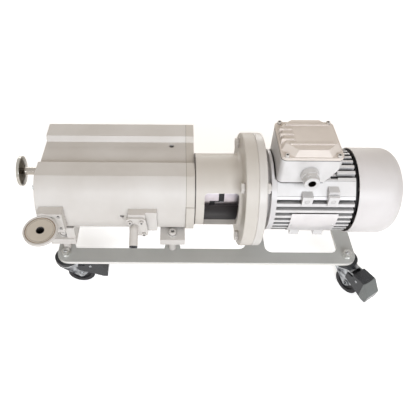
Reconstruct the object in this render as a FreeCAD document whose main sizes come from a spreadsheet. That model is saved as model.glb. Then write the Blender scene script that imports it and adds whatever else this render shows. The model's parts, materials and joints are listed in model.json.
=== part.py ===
"""Dry claw vacuum pump: two claw rotors in a twin-barrel casing, driven through a
jaw coupling by a flange motor, on a plate frame with four braked swivel casters.

The shaft line runs along X, from the inlet end (-X) to the motor fan (+X). The
driven rotor lies behind the drive rotor (+Y). Inside the document, x = 0 is the
casing's drive-end face, on the drive shaft's axis; one common placement moves
every piece to the row frame, whose origin is the centre of the footprint on the floor.
"""
import FreeCAD, Part
import Sketcher
import math
import os

doc = FreeCAD.newDocument("claw_pump")
sheet = doc.addObject("Spreadsheet::Sheet", "Sizes")

SIZES = [
    # twin-barrel casing
    ("centre_distance", 75.0, "between the two rotor axes"),
    ("casing_length", 251.5, "end cover face to drive-end face"),
    ("barrel_radius", 68.5, "outside of each barrel"),
    ("crown_cut", 8.5, "flat tops below the barrels' highest line"),
    ("channel_width", 72.4, "valley between the two crowns, at the top"),
    ("channel_depth", 10.0, "valley below the crowns"),
    ("channel_draft", 5.0, "slope of each valley wall"),
    ("web_cut", 6.5, "flat between the barrels, above their lowest line"),
    ("chamber_radius", 44.2, "rotor bores"),
    ("port_overlap", 4.4, "outlet port into the last chamber"),
    ("gallery_radius", 6.0, "exhaust gallery beside the front bore"),
    ("lifting_hole", 4.2, "tapped lifting hole in the valley"),
    ("lifting_seat", 6.5, "spot face of the lifting hole"),
    ("lifting_from_face", 25.0, "lifting hole from the drive-end face"),
    ("lifting_back", 59.0, "lifting hole behind the drive axis"),
    ("lifting_depth", 6.5, "tapped lifting hole"),
    ("plug_radius", 3.4, "tapped hole in the front barrel"),
    ("plug_seat", 6.0, "spot face of that hole"),
    ("spot_depth", 0.5, "spot faces"),
    ("plug_depth", 4.0, "tapped hole in the front barrel"),
    ("plug_from_face", 107.5, "tapped hole from the drive-end face"),
    ("screw_shank", 3.0, "end cover, plate and lantern screws"),
    ("screw_head", 5.0, "end cover, plate and lantern screws"),
    ("screw_depth", 12.0, "holes of those screws in the casing"),
    ("cover_screw_drop", 18.0, "middle screws of the end cover below the valley"),
    ("plate_screw_drop", 8.0, "middle screws of the plate below the valley"),
    ("lantern_screw_depth", 9.0, "holes of the lantern screws in the plate"),
    ("small_shank", 2.0, "manifold and purge screws"),
    ("small_head", 3.5, "manifold and purge screws"),
    ("small_depth", 12.0, "holes of the purge screws"),
    ("head_tall", 2.0, "screw head height over its shank's radius"),
    ("socket_across", 0.85, "half socket over the shank's radius"),
    # end walls and stage walls
    ("cover_radius", 55.0, "spigot of the end cover"),
    ("cover_thickness", 14.0, "end cover"),
    ("cover_flat_drop", 5.0, "flat of the end cover below the valley"),
    ("stage_one", 60.0, "first stage, at the inlet"),
    ("stage_two", 40.0, "second stage"),
    ("stage_three", 30.0, "third stage"),
    ("stage_four", 22.0, "last stage"),
    ("divider", 12.0, "walls between stages"),
    ("bearing_wall_thickness", 22.0, "wall that holds the drive-end bearings"),
    ("wall_fit", 0.05, "radial clearance of the walls in the bores"),
    ("plate_lip", 2.5, "drive-end plate beyond each barrel"),
    ("plate_thickness", 14.5, "drive-end plate"),
    ("plate_step", 20.0, "height of the step line on the plate"),
    ("transfer_radius", 6.0, "gas port through a stage wall"),
    ("transfer_out", 20.0, "gas port behind the drive axis"),
    ("transfer_drop", 30.0, "gas port from the shaft line"),
    ("shield_sunk", 0.8, "bearing shields below the rings"),
    ("bearing_land", 0.24, "bearing ring over the bearing's depth"),
    ("shaft_short", 2.3, "drive shaft end inside the hub"),
    # rotors
    ("tip_gap", 0.3, "claw tip to bore"),
    ("side_gap", 0.3, "claw face to stage wall"),
    ("mesh_gap", 0.4, "claw to claw"),
    ("claw_tip_angle", 44.0, "length of a claw's tip land"),
    ("claw_back_angle", 36.0, "length of a claw's sloping back"),
    ("claw_shaft", 15.0, "shaft radius under the claws"),
    ("tail_journal", 8.5, "shaft radius in the end cover"),
    ("head_journal", 12.5, "shaft radius in the bearing wall"),
    ("gear_seat", 12.0, "shaft radius under the timing gears"),
    ("seal_land", 11.0, "drive shaft radius in the lip seal"),
    ("coupling_seat", 9.5, "drive shaft and motor shaft radius in the hubs"),
    ("fit", 0.03, "radial clearance of seats on shafts"),
    ("running", 0.06, "radial clearance of turning shafts"),
    ("seat_gap", 0.3, "between curved faces that meet"),
    ("overshoot", 1.0, "cutting tools past the faces they open"),
    ("screw_gap", 1.0, "screw ends short of their holes"),
    ("tail_bearing_radius", 20.0, "outer ring"),
    ("tail_bearing_width", 12.0, "outer ring"),
    ("head_bearing_radius", 26.0, "outer ring"),
    ("head_bearing_width", 15.0, "outer ring"),
    ("gear_module", 2.5, "timing gears"),
    ("gear_teeth", 30, "timing gears"),
    ("gear_width", 18.0, "timing gears"),
    ("backlash", 0.24, "at the pitch circle"),
    ("gear_root", 1.25, "root depth in modules"),
    ("pressure_angle", 20.0, "gear flanks, degrees"),
    ("seal_radius", 20.0, "lip seal, outside"),
    ("seal_width", 7.0, "lip seal"),
    # inlet
    ("inlet_flange_radius", 27.5, "stainless inlet flange"),
    ("inlet_rim", 5.0, "flange rim"),
    ("inlet_back", 4.5, "length of the flange's conical back"),
    ("inlet_tube_radius", 7.0, "inlet neck, outside"),
    ("inlet_bore", 5.0, "inlet neck, inside"),
    ("inlet_reach", 50.0, "flange face from the casing"),
    ("inlet_height", 6.5, "inlet axis above the shaft line"),
    ("inlet_recess", 20.0, "groove in the flange face, radius"),
    ("inlet_recess_depth", 1.5, "groove in the flange face"),
    ("inlet_groove", 1.0, "width of that groove"),
    # exhaust
    ("manifold_from_end", 7.0, "manifold block from the end of the casing"),
    ("manifold_width", 40.0, "along the casing"),
    ("manifold_top", 20.0, "above the shaft line"),
    ("manifold_drop", 24.0, "below the shaft line"),
    ("manifold_out", 15.5, "front face beyond the barrel"),
    ("manifold_port", 5.0, "gas passage through the manifold"),
    ("manifold_wall", 8.8, "manifold's inner face outside the chamber"),
    ("link_depth", 8.0, "passage linking the manifold's two ports"),
    ("link_wall", 4.0, "neck between manifold and housing, around the passage"),
    ("manifold_edge", 6.0, "manifold screws from its ends"),
    ("manifold_screw_height", 14.0, "manifold screws from the shaft line"),
    ("manifold_counterbore", 5.0, "seat of the manifold screws below its face"),
    ("exhaust_radius", 28.0, "exhaust housing"),
    ("exhaust_rim", 3.0, "wall round the disc"),
    ("exhaust_depth", 5.5, "housing height"),
    ("notch_height", 24.0, "notch cut through the manifold for it"),
    ("exhaust_neck", 11.5, "neck below the housing, radius"),
    ("exhaust_neck_depth", 17.0, "neck below the housing"),
    ("exhaust_bore", 6.2, "outlet"),
    ("exhaust_tilt", 8.5, "housing leans to the front, degrees"),
    ("exhaust_reach", 26.0, "housing centre in front of the manifold"),
    ("exhaust_up", 11.0, "housing face above the shaft line"),
    ("exhaust_from_end", 16.0, "housing centre from the end of the casing"),
    ("disc_thickness", 2.5, "inset disc"),
    ("disc_groove", 0.6, "ring line in the disc, width and depth"),
    ("disc_groove_in", 3.0, "ring line from the edge of the disc"),
    ("disc_sunk", 0.8, "disc below the rim"),
    # purge port on the front barrel
    ("pad_from_face", 48.5, "purge pad from the drive-end face"),
    ("pad_width", 47.0, "purge pad along the casing"),
    ("pad_top", 17.0, "above the shaft line"),
    ("pad_drop", 27.0, "right half, below the shaft line"),
    ("port_drop", 34.0, "left half, below the shaft line"),
    ("pad_out_front", 7.5, "face of the right half beyond the barrel"),
    ("port_width", 28.0, "raised left half of the pad"),
    ("port_out_front", 12.5, "face of the raised half beyond the barrel"),
    ("purge_plate", 4.0, "purge flange thickness"),
    ("purge_lobe", 7.0, "radius of a purge flange lobe"),
    ("purge_span", 19.0, "between its two upper screws"),
    ("purge_fall", 29.0, "lower screw below the upper two"),
    ("purge_edge", 3.0, "left screw from the edge of the pad"),
    ("purge_height", 4.5, "upper screws above the shaft line"),
    ("purge_tube_in", 9.0, "purge tube from the edge of the pad"),
    ("purge_tube_low", 7.5, "top of the purge tube below the shaft line"),
    ("purge_tube_radius", 7.0, "purge tube, outside"),
    ("purge_tube_bore", 5.0, "purge tube, inside"),
    ("purge_tube_length", 28.0, "length of the tube"),
    ("purge_tube_lean", 62.0, "tube leans out to the front, degrees"),
    # feet
    ("foot_width", 45.0, "along the casing"),
    ("foot_thickness", 13.0, "flange"),
    ("foot_gap", 1.5, "flange top below the barrels"),
    ("foot_reach", 61.0, "flange edge in front of the drive axis"),
    ("foot_web", 15.0, "upright web of the left foot"),
    ("foot_web_back", 3.0, "web from the front edge of the foot"),
    ("foot_web_height", 27.0, "web above the flange"),
    ("foot_from_end", 9.0, "left foot from the end of the casing"),
    ("mount_out", 46.0, "mount axis in front of the drive axis"),
    ("mount_radius", 6.9, "post under a foot"),
    ("foot_screw", 4.0, "foot screw shank"),
    ("foot_screw_head", 6.5, "foot screw head"),
    ("foot_bolt_length", 32.0, "bolt from the foot up into the casing"),
    ("foot_saddle", 8.0, "saddle under the casing from the drive axis"),
    ("mount_hole_share", 0.4, "tapped depth of a post over its height"),
    # coupling lantern
    ("lantern_radius", 63.4, "outside of the tube"),
    ("lantern_wall", 10.0, "tube"),
    ("lantern_length", 100.8, "drive-end plate to motor"),
    ("lantern_flange", 20.8, "motor flange of the lantern"),
    ("lantern_floor", 9.0, "inner ring at the pump end"),
    ("lantern_floor_bore", 40.0, "hole in the inner ring"),
    ("seam", 1.0, "open joint lines between castings"),
    ("cast_fillet", 6.0, "between the tube and the lantern's flange"),
    ("flange_edge", 2.0, "round edges of both big flanges"),
    ("window_from_plate", 16.5, "window from the drive-end plate"),
    ("window_length", 58.0, "window along the shaft"),
    ("window_half_height", 38.0, "window above and below the shaft line"),
    ("window_corner", 6.0, "window corner radius"),
    # jaw coupling
    ("hub_radius", 28.5, "both hubs"),
    ("pump_hub_from_plate", 13.0, "pump hub from the drive-end plate"),
    ("pump_hub_length", 14.8, "body of the pump hub"),
    ("spider_length", 25.1, "between the hub bodies"),
    ("jaw_length", 15.6, "jaws of both hubs"),
    ("jaw_angle", 54.0, "sector of one jaw"),
    ("jaw_inner", 12.0, "inside radius of the jaws"),
    ("jaw_gap", 0.3, "jaw to spider"),
    ("jaw_relief", 1.2, "jaw to spider, degrees"),
    ("jaw_start", 219.0, "first jaw of the pump hub, degrees from straight down"),
    ("jaw_pitch", 120.0, "between the three jaws of a hub, degrees"),
    ("motor_hub_length", 30.0, "body of the motor hub"),
    # flange motor
    ("flange_radius", 100.0, "motor flange"),
    ("flange_thickness", 14.0, "motor flange"),
    ("spigot_radius", 65.0, "flange spigot"),
    ("spigot_length", 3.5, "flange spigot"),
    ("spigot_gap", 0.5, "register deeper than the spigot"),
    ("bolt_circle", 82.5, "radius of the flange bolt circle"),
    ("flange_bolt", 5.0, "bolt shank"),
    ("bolt_hole", 5.5, "bolt holes"),
    ("bolt_across", 16.0, "hexagon across flats"),
    ("bolt_head", 6.4, "hexagon height"),
    ("bolt_end", 8.3, "bolt through its nut"),
    ("neck_radius", 58.0, "shield between flange and rim"),
    ("neck_length", 11.2, "shield between flange and rim"),
    ("rim_length", 9.0, "shield rim that takes the frame"),
    ("frame_radius", 72.0, "over the fins"),
    ("frame_core", 58.5, "tube under the fins"),
    ("stator_radius", 52.0, "bore of the frame"),
    ("frame_length", 129.0, "finned frame"),
    ("fin_pitch", 11.0, "fins"),
    ("fin_count", 8, "fins on each side"),
    ("fin_thickness", 4.6, "fins"),
    ("rib_half_width", 12.5, "diagonal ribs"),
    ("rib_radius", 70.9, "flat of the diagonal ribs"),
    ("rotor_radius", 31.5, "squirrel-cage rotor"),
    ("air_gap", 0.4, "rotor to stator"),
    ("core_length", 80.0, "stator and rotor laminations"),
    ("winding_length", 15.0, "winding heads"),
    ("winding_gap", 3.4, "winding heads from the rotor"),
    ("end_ring", 6.0, "end rings of the cage, length"),
    ("end_ring_in", 2.0, "end rings below the rotor's surface"),
    ("end_ring_bore", 19.2, "end rings, inside radius"),
    ("motor_bearing_seat", 10.0, "motor shaft radius in its bearings"),
    ("motor_bearing_radius", 23.5, "outer ring"),
    ("motor_bearing_width", 14.0, "outer ring"),
    ("shield_wall", 8.0, "rear shield"),
    ("shield_web", 3.0, "inner face of both shields behind the joint"),
    ("register_wall", 5.0, "rings of the shields inside the frame"),
    ("register_length", 5.5, "rings of the shields inside the frame"),
    ("rear_lip", 4.0, "rear shield beyond the neck radius"),
    ("boss_wall", 4.5, "bearing bosses around the rings"),
    ("shaft_room", 2.0, "holes of the shields around the shaft"),
    ("fan_gap", 5.0, "fan from the rear shield"),
    ("bearing_setback", 5.7, "front bearing behind the flange face"),
    ("core_seat", 12.0, "motor shaft radius under its laminations"),
    ("lug_half", 8.0, "lugs that carry the cowl"),
    ("shaft_out", 40.0, "motor shaft beyond its flange"),
    ("cowl_radius", 75.3, "fan cowl"),
    ("cowl_wall", 1.6, "fan cowl sheet"),
    ("cowl_gap", 4.7, "fan cowl from the end of the fins"),
    ("cowl_length", 80.0, "fan cowl"),
    ("cowl_corner", 26.0, "fan cowl corner radius"),
    ("fan_radius", 60.0, "cooling fan"),
    ("fan_width", 24.0, "cooling fan"),
    ("fan_bore", 9.0, "motor shaft radius in the fan"),
    ("fan_hub_radius", 16.2, "hub of the fan"),
    ("fan_disc_radius", 48.0, "disc that carries the blades"),
    ("fan_disc_back", 1.0, "disc from the end of the shaft"),
    ("blade_thickness", 3.0, "blades and disc of the fan"),
    ("grille_hole", 4.5, "holes in the end of the cowl"),
    ("grille_inner", 16.0, "inner ring of holes"),
    ("grille_outer", 32.0, "outer ring of holes"),
    # foot pads on the motor ribs
    ("pad_side", 17.0, "square foot pads"),
    ("pad_pitch", 42.6, "between the pads of one rib"),
    ("pad_centre", 59.0, "mid-point of the pads from the frame end"),
    ("pad_out", 68.0, "pad face from the motor axis"),
    ("pad_depth", 22.0, "pads, from the face inward"),
    ("pad_low", 27.0, "lower edge of the upper pads"),
    ("pad_high", 20.0, "height of the pads"),
    ("pad_step", 6.0, "small block above one pad"),
    ("pad_hole", 4.0, "tapped hole of each pad"),
    ("pad_hole_depth", 12.0, "tapped hole of each pad"),
    # terminal box
    ("box_centre", 196.7, "box centre from the drive-end face"),
    ("box_length", 98.0, "box along the shaft"),
    ("box_width", 94.0, "box across"),
    ("box_seat", 60.0, "box underside above the shaft line"),
    ("box_top", 106.0, "box rim above the shaft line"),
    ("box_wall", 4.0, "box walls"),
    ("box_corner", 9.0, "box corner radius"),
    ("inner_corner", 6.0, "inner corner radius"),
    ("box_cut", 24.0, "slope cut from the fan side, at the seat"),
    ("box_slope_from", 11.0, "top of the slope below the rim"),
    ("cable_hole", 8.0, "passage between box and frame"),
    ("box_room", 3.0, "flat of the frame around the box"),
    ("seat_inset", 8.0, "cast seat under the box, from its edges"),
    ("seat_sunk", 12.0, "cast seat inside the frame's bore"),
    ("board_length", 40.0, "terminal board"),
    ("board_width", 34.0, "terminal board"),
    ("board_back", 24.0, "terminal board behind the box centre"),
    ("panel_inset", 2.0, "raised panel from the lid edge"),
    ("panel_slope", 6.0, "inward slope of the panel's sides"),
    ("panel_cut", 18.0, "corners cut from the panel for the screws"),
    ("ridge_out", 25.0, "long ridges from the lid centre"),
    ("ridge_length", 70.0, "long ridges"),
    ("ridge_width", 3.6, "long ridges"),
    ("ridge_height", 2.0, "ridges and short ribs"),
    ("rib_step", 13.0, "between the short ribs"),
    ("rib_length", 21.0, "short ribs"),
    ("rib_width", 3.4, "short ribs"),
    ("stud_height", 20.0, "terminal studs with their nuts"),
    ("stud_thick", 2.5, "terminal studs, radius"),
    ("board_height", 8.0, "terminal board"),
    ("gland_thread", 10.0, "thread of the cable gland"),
    ("gasket_thickness", 1.2, "lid gasket"),
    ("lid_thickness", 5.0, "lid flange"),
    ("lid_rise", 10.0, "raised panel of the lid"),
    ("lid_screw_in_x", 8.3, "lid screws from the ends of the box"),
    ("lid_screw_in_y", 4.2, "lid screws from the sides of the box"),
    ("lid_boss", 8.0, "corner bosses of the box, radius"),
    ("gland_radius", 14.0, "cable gland body"),
    ("gland_collar", 11.0, "length of the gland body"),
    ("gland_across", 24.5, "gland hexagon across flats"),
    ("gland_hex", 7.0, "length of the gland hexagon"),
    ("gland_nose", 12.0, "radius of the gland's nose"),
    ("gland_inside", 3.0, "gland inside the box wall"),
    ("gland_bore", 6.0, "cable entry"),
    ("gland_length", 24.0, "gland in front of the box"),
    ("gland_height", 80.0, "gland axis above the shaft line"),
    ("gland_shift", 0.5, "gland axis from the box centre"),
    # nameplate
    ("nameplate_length", 78.0, "bare plate"),
    ("nameplate_radius", 72.4, "inside face"),
    ("nameplate_gauge", 0.8, "sheet"),
    ("nameplate_start", 260.0, "upper edge, degrees from straight down"),
    ("nameplate_span", 44.0, "height of the plate, degrees"),
    ("nameplate_from_frame", 27.0, "plate from the frame end"),
    # plate frame and casters
    ("frame_drop", 110.0, "frame top below the shaft line"),
    ("frame_thickness", 6.0, "plate"),
    ("frame_left", 236.5, "frame end from the drive-end face"),
    ("frame_right", 318.5, "frame end from the drive-end face"),
    ("frame_front", 81.0, "frame edge in front of the drive axis"),
    ("front_bar", 33.0, "front and rear bars beside the pump"),
    ("motor_bar", 25.5, "front and rear bars beside the motor"),
    ("left_bar", 24.0, "bar at the inlet end"),
    ("right_bar", 31.0, "bar at the fan end"),
    ("cross_left", 116.0, "cross bar from the drive-end face"),
    ("cross_width", 36.0, "cross bar"),
    ("frame_corner", 22.0, "outer corners"),
    ("opening_corner", 14.0, "corners of the openings"),
    ("ear_radius", 15.0, "ears under the posts"),
    ("stud_in_x", 16.0, "caster stud from the frame ends"),
    ("stud_in_y", 19.0, "caster stud from the frame edges"),
    ("caster_height", 66.0, "frame to floor"),
    ("wheel_radius", 25.0, "caster wheel"),
    ("wheel_width", 18.0, "caster wheel"),
    ("wheel_dish", 2.7, "hollow in the wheel's side"),
    ("dish_radius", 17.5, "hollow in the wheel's side"),
    ("axle_radius", 4.0, "caster axle"),
    ("trail", 24.0, "axle behind the stud"),
    ("cup_radius", 22.0, "caster head"),
    ("cup_height", 7.0, "caster head"),
    ("head_gap", 0.3, "fork under the head"),
    ("fork_gauge", 2.5, "fork sheet"),
    ("fork_inside", 20.0, "between the fork cheeks"),
    ("stud_radius", 5.0, "caster stud"),
    ("stud_nut", 14.5, "nut across flats"),
    ("washer_radius", 8.8, "washer under the stud's nut"),
    ("washer_gauge", 1.5, "washer under the stud's nut"),
    ("pedal_pin", 2.5, "brake pedal pin"),
    ("pedal_tip", 76.0, "pedal tip from the stud"),
    ("pedal_gauge", 1.5, "pedal sheet"),
    ("pedal_over", 9.5, "pedal top above its pin"),
    ("pedal_start", 34.0, "roof of the pedal from the stud"),
    ("skirt_start", 21.0, "side walls of the pedal from the stud"),
    ("skirt_top", -12.0, "front of the side walls, from the frame"),
    ("skirt_low", -26.0, "front of the side walls, lower corner"),
    ("skirt_deep", -34.0, "side walls under the pin"),
    ("toe_length", 10.0, "tip of the pedal"),
    ("toe_drop", 3.0, "tip of the pedal below the axle"),
    ("brow_back", 15.0, "end of the pedal's roof from its tip"),
    ("nose_drop", 12.0, "bend at the tip below the pin"),
    ("pin_out", 44.0, "pedal pin from the stud"),
    ("pin_drop", 15.0, "pedal pin below the frame"),
    ("cheek_lobe", 7.0, "corner radius of the fork cheeks"),
    ("cheek_back", 8.0, "rear lobe of the fork cheeks"),
    ("fork_disc", 20.0, "fork plate under the head"),
    ("fork_nose", 27.0, "fork plate towards the wheel"),
    ("nut_height", 9.0, "stud end above the frame"),
    ("collar_height", 3.0, "collar that holds the fork"),
    ("pedal_width", 29.0, "brake pedal"),
    ("swivel_front_left", 0.0, "direction of a caster, degrees"),
    ("swivel_front_right", -57.0, "direction of a caster, degrees"),
    ("swivel_rear_left", 0.0, "direction of a caster, degrees"),
    ("swivel_rear_right", 180.0, "direction of a caster, degrees"),
]

for row, (alias, number, note) in enumerate(SIZES, start=1):
    sheet.set("A%d" % row, alias.replace("_", " "))
    sheet.set("B%d" % row, str(number))
    sheet.set("C%d" % row, note)
    sheet.setAlias("B%d" % row, alias)
doc.recompute()


class Size(float):
    """A number that remembers the formula of the sheet's cells that gives it."""

    def __new__(cls, number, formula):
        made = float.__new__(cls, number)
        made.formula = formula
        return made

    def __add__(self, other):
        return Size(float(self) + float(other), "(%s + %s)" % (self.formula, formula(other)))

    def __radd__(self, other):
        return Size(float(other) + float(self), "(%s + %s)" % (formula(other), self.formula))

    def __sub__(self, other):
        return Size(float(self) - float(other), "(%s - %s)" % (self.formula, formula(other)))

    def __rsub__(self, other):
        return Size(float(other) - float(self), "(%s - %s)" % (formula(other), self.formula))

    def __mul__(self, other):
        return Size(float(self) * float(other), "(%s * %s)" % (self.formula, formula(other)))

    def __rmul__(self, other):
        return Size(float(other) * float(self), "(%s * %s)" % (formula(other), self.formula))

    def __truediv__(self, other):
        return Size(float(self) / float(other), "(%s / %s)" % (self.formula, formula(other)))

    def __neg__(self):
        return Size(-float(self), "(0 - %s)" % self.formula)


def formula(value):
    """The text of a value inside an expression."""
    if isinstance(value, Size):
        return value.formula
    return "(%r)" % float(value) if value < 0 else "%r" % float(value)


def root(value):
    """Square root, kept as a formula."""
    return Size(math.sqrt(value), "sqrt(%s)" % formula(value))


def cosine(degrees):
    return Size(math.cos(math.radians(degrees)), "cos(%s)" % formula(degrees))


def sine(degrees):
    return Size(math.sin(math.radians(degrees)), "sin(%s)" % formula(degrees))


class Sheet:
    """Reads a cell by its alias: d.casing_length."""

    def __getattr__(self, alias):
        return Size(float(sheet.get(alias)), "Sizes.%s" % alias)


d = Sheet()

# helpers: expressions, sketches and features


def bind(thing, path, value):
    """Tie a property to the sheet."""
    thing.setExpression(path, formula(value))


def new_body(label):
    made = doc.addObject("PartDesign::Body", label)
    made.Label = label
    return made


def new_sketch(body, role, offset=0.0, shift=0.0):
    """A sketch on one of the body's own planes, moved along its normal and its first axis."""
    made = body.newObject("Sketcher::SketchObject", body.Name + "_sketch")
    plane = [feature for feature in body.Origin.OriginFeatures if feature.Role == role][0]
    made.AttachmentSupport = [(plane, "")]
    made.MapMode = "FlatFace"
    bind(made, "AttachmentOffset.Base.z", offset)
    bind(made, "AttachmentOffset.Base.x", shift)
    return made


def constrain(sketch, kind, *where):
    """Add a constraint; the last value may be a size, and then it stays bound."""
    value = where[-1]
    if isinstance(value, float):
        index = sketch.addConstraint(Sketcher.Constraint(kind, *where[:-1], float(value)))
        bind(sketch, "Constraints[%d]" % index, value)
    else:
        sketch.addConstraint(Sketcher.Constraint(kind, *where))


def place_point(sketch, shape, end, x, y):
    """Fix a point of a sketch from the sketch's origin."""
    for kind, value in (("DistanceX", x), ("DistanceY", y)):
        if abs(value) < 1e-9 and not isinstance(value, Size):
            axis = -2 if kind == "DistanceX" else -1
            sketch.addConstraint(Sketcher.Constraint("PointOnObject", shape, end, axis))
        else:
            constrain(sketch, kind, -1, 1, shape, end, value)


def circle(sketch, radius, x=0.0, y=0.0):
    centre = FreeCAD.Vector(x, y, 0)
    shape = sketch.addGeometry(Part.Circle(centre, FreeCAD.Vector(0, 0, 1), float(radius)))
    place_point(sketch, shape, 3, x, y)
    constrain(sketch, "Radius", shape, radius)


def outline(sketch, points):
    """Closed outline. A point is (x, y), or (x, y, radius, turn) at the end of an arc;
    turn is 1 for an anticlockwise arc and -1 for a clockwise one."""
    shapes = []
    for index, point in enumerate(points):
        last = points[index - 1]
        start = FreeCAD.Vector(last[0], last[1], 0)
        end = FreeCAD.Vector(point[0], point[1], 0)
        if len(point) == 2:
            shapes.append(sketch.addGeometry(Part.LineSegment(start, end)))
            continue
        radius, turn = float(point[2]), point[3]
        chord = end - start
        across = FreeCAD.Vector(-chord.y, chord.x, 0).normalize()
        rise = math.sqrt(max(radius * radius - chord.Length * chord.Length / 4.0, 0.0))
        centre = (start + end) * 0.5 + across * (rise * turn)
        first, second = (start, end) if turn > 0 else (end, start)
        angles = [math.atan2(spot.y - centre.y, spot.x - centre.x) for spot in (first, second)]
        whole = Part.Circle(centre, FreeCAD.Vector(0, 0, 1), radius)
        shapes.append(sketch.addGeometry(Part.ArcOfCircle(whole, angles[0], angles[1])))
    ends = []
    for shape, point in zip(shapes, points):
        clockwise = len(point) == 4 and point[3] < 0
        ends.append((2, 1) if clockwise else (1, 2))
    for index, shape in enumerate(shapes):
        following = (index + 1) % len(shapes)
        sketch.addConstraint(Sketcher.Constraint(
            "Coincident", shape, ends[index][1], shapes[following], ends[following][0]))
        place_point(sketch, shape, ends[index][1], points[index][0], points[index][1])
    for shape, point in zip(shapes, points):
        if len(point) == 4:
            constrain(sketch, "Radius", shape, point[2])


def rectangle(sketch, left, bottom, right, top):
    outline(sketch, [(left, bottom), (right, bottom), (right, top), (left, top)])


def rounded(sketch, left, bottom, right, top, radius):
    """Rectangle with round corners."""
    outline(sketch, [
        (left, top - radius), (left, bottom + radius),
        (left + radius, bottom, radius, 1), (right - radius, bottom),
        (right, bottom + radius, radius, 1), (right, top - radius),
        (right - radius, top, radius, 1), (left + radius, top),
        (left, top - radius, radius, 1)][1:])


def pad(body, sketch, length, reverse=False):
    made = body.newObject("PartDesign::Pad", body.Name + "_pad")
    made.Profile = sketch
    bind(made, "Length", length)
    made.Reversed = reverse
    sketch.Visibility = False
    return made


def pocket(body, sketch, length, forward=True, both=False):
    """Cut along the sketch's normal, against it, or both ways."""
    made = body.newObject("PartDesign::Pocket", body.Name + "_pocket")
    made.Profile = sketch
    bind(made, "Length", length)
    made.Reversed = forward
    if both:
        made.Midplane = True
    return made


def revolve(body, sketch, axis="H_Axis"):
    made = body.newObject("PartDesign::Revolution", body.Name + "_revolution")
    made.Profile = sketch
    made.ReferenceAxis = (sketch, [axis])
    made.Angle = 360
    return made


def turned(label, points, y=0.0, z=0.0):
    """A piece turned about a line along the shaft; points are (x, radius)."""
    body = new_body(label)
    sketch = new_sketch(body, "XZ_Plane", -y if y else 0.0)
    bind(sketch, "AttachmentOffset.Base.y", z)
    outline(sketch, points)
    revolve(body, sketch)
    return body


def ring(left, right, inner, outer, y=0.0):
    """A plain ring about a shaft."""
    return cut(rod("x", outer, right - left, left, y, 0.0), [rod("x", inner, right - left, left, y, 0.0)])


TURNS = {
    "x": FreeCAD.Rotation(FreeCAD.Vector(0, 1, 0), 90),
    "y": FreeCAD.Rotation(FreeCAD.Vector(1, 0, 0), -90),
    "z": FreeCAD.Rotation(),
}


def move(thing, x, y, z, rotation=None):
    if rotation is not None:
        thing.Placement = FreeCAD.Placement(FreeCAD.Vector(x, y, z), rotation)
    bind(thing, "Placement.Base.x", x)
    bind(thing, "Placement.Base.y", y)
    bind(thing, "Placement.Base.z", z)
    return thing


def rod(along, radius, length, x, y, z):
    """A cylinder along an axis, from its first end."""
    made = doc.addObject("Part::Cylinder", "rod")
    bind(made, "Radius", radius)
    bind(made, "Height", length)
    return move(made, x, y, z, TURNS[along])


def hexagon(along, across, length, x, y, z):
    made = doc.addObject("Part::Prism", "hexagon")
    made.Polygon = 6
    bind(made, "Circumradius", across / math.sqrt(3.0))
    bind(made, "Height", length)
    return move(made, x, y, z, TURNS[along])


def block(x, y, z, length, width, height):
    """A box from its lowest corner."""
    made = doc.addObject("Part::Box", "block")
    bind(made, "Length", length)
    bind(made, "Width", width)
    bind(made, "Height", height)
    return move(made, x, y, z)


def fuse(pieces):
    made = doc.addObject("Part::MultiFuse", "joined")
    made.Shapes = pieces
    return made


def gather(pieces):
    """Separate solids kept in one piece."""
    made = doc.addObject("Part::Compound", "group")
    made.Links = pieces
    return made


def cut(base, tools):
    made = doc.addObject("Part::Cut", "cut")
    made.Base = base
    made.Tool = tools[0] if len(tools) == 1 else fuse(tools)
    return made


def common(first, second):
    made = doc.addObject("Part::Common", "shared")
    made.Base = first
    made.Tool = second
    return made


def cap_screw(along, head, shank, length, x, y, z, way=1):
    """Socket-head screw; the head's underside is at the given point and the shank runs way."""
    tall = shank * d.head_tall
    socket = shank * d.socket_across
    x, y, z = [value + 0.0 if isinstance(value, Size) else float(value) for value in (x, y, z)]

    def along_by(step):
        return (x + step if along == "x" else x,
                y + step if along == "y" else y,
                z + step if along == "z" else z)

    head_start = along_by(-tall) if way > 0 else (x, y, z)
    shank_start = (x, y, z) if way > 0 else along_by(-length)
    socket_start = along_by(-tall) if way > 0 else along_by(tall / 2)
    whole = fuse([rod(along, head, tall, *head_start), rod(along, shank, length, *shank_start)])
    return cut(whole, [hexagon(along, socket * 2, tall / 2, *socket_start)])


def spread(radius, angles):
    """Points round the origin, as pairs."""
    return [(radius * cosine(angle), radius * sine(angle)) for angle in angles]


def sector(start, span, inner, outer, left, right):
    """Part of a ring about the shaft line; angles run from straight down to the back."""
    made = rod("x", outer, right - left, left, 0.0, 0.0)
    turn = FreeCAD.Rotation(FreeCAD.Vector(0, 0, 1), float(start))
    made.Placement = FreeCAD.Placement(FreeCAD.Vector(left, 0, 0), TURNS["x"].multiply(turn))
    bind(made, "Angle", span)
    return cut(made, [rod("x", inner, right - left, left, 0.0, 0.0)])


def hull(points, radius):
    """Outline round equal circles at the given points, taken anticlockwise."""
    outer = []
    for index, point in enumerate(points):
        following = points[(index + 1) % len(points)]
        along_x = following[0] - point[0]
        along_y = following[1] - point[1]
        reach = root(along_x * along_x + along_y * along_y)
        away = (along_y / reach * radius, -along_x / reach * radius)
        outer.append((point[0] + away[0], point[1] + away[1], radius, 1))
        outer.append((following[0] + away[0], following[1] + away[1]))
    return outer


def figure(left, width, radius):
    """Two round plates side by side, one about each rotor axis."""
    return fuse([rod("x", radius, width, left, y, 0.0) for y in axes])


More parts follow.
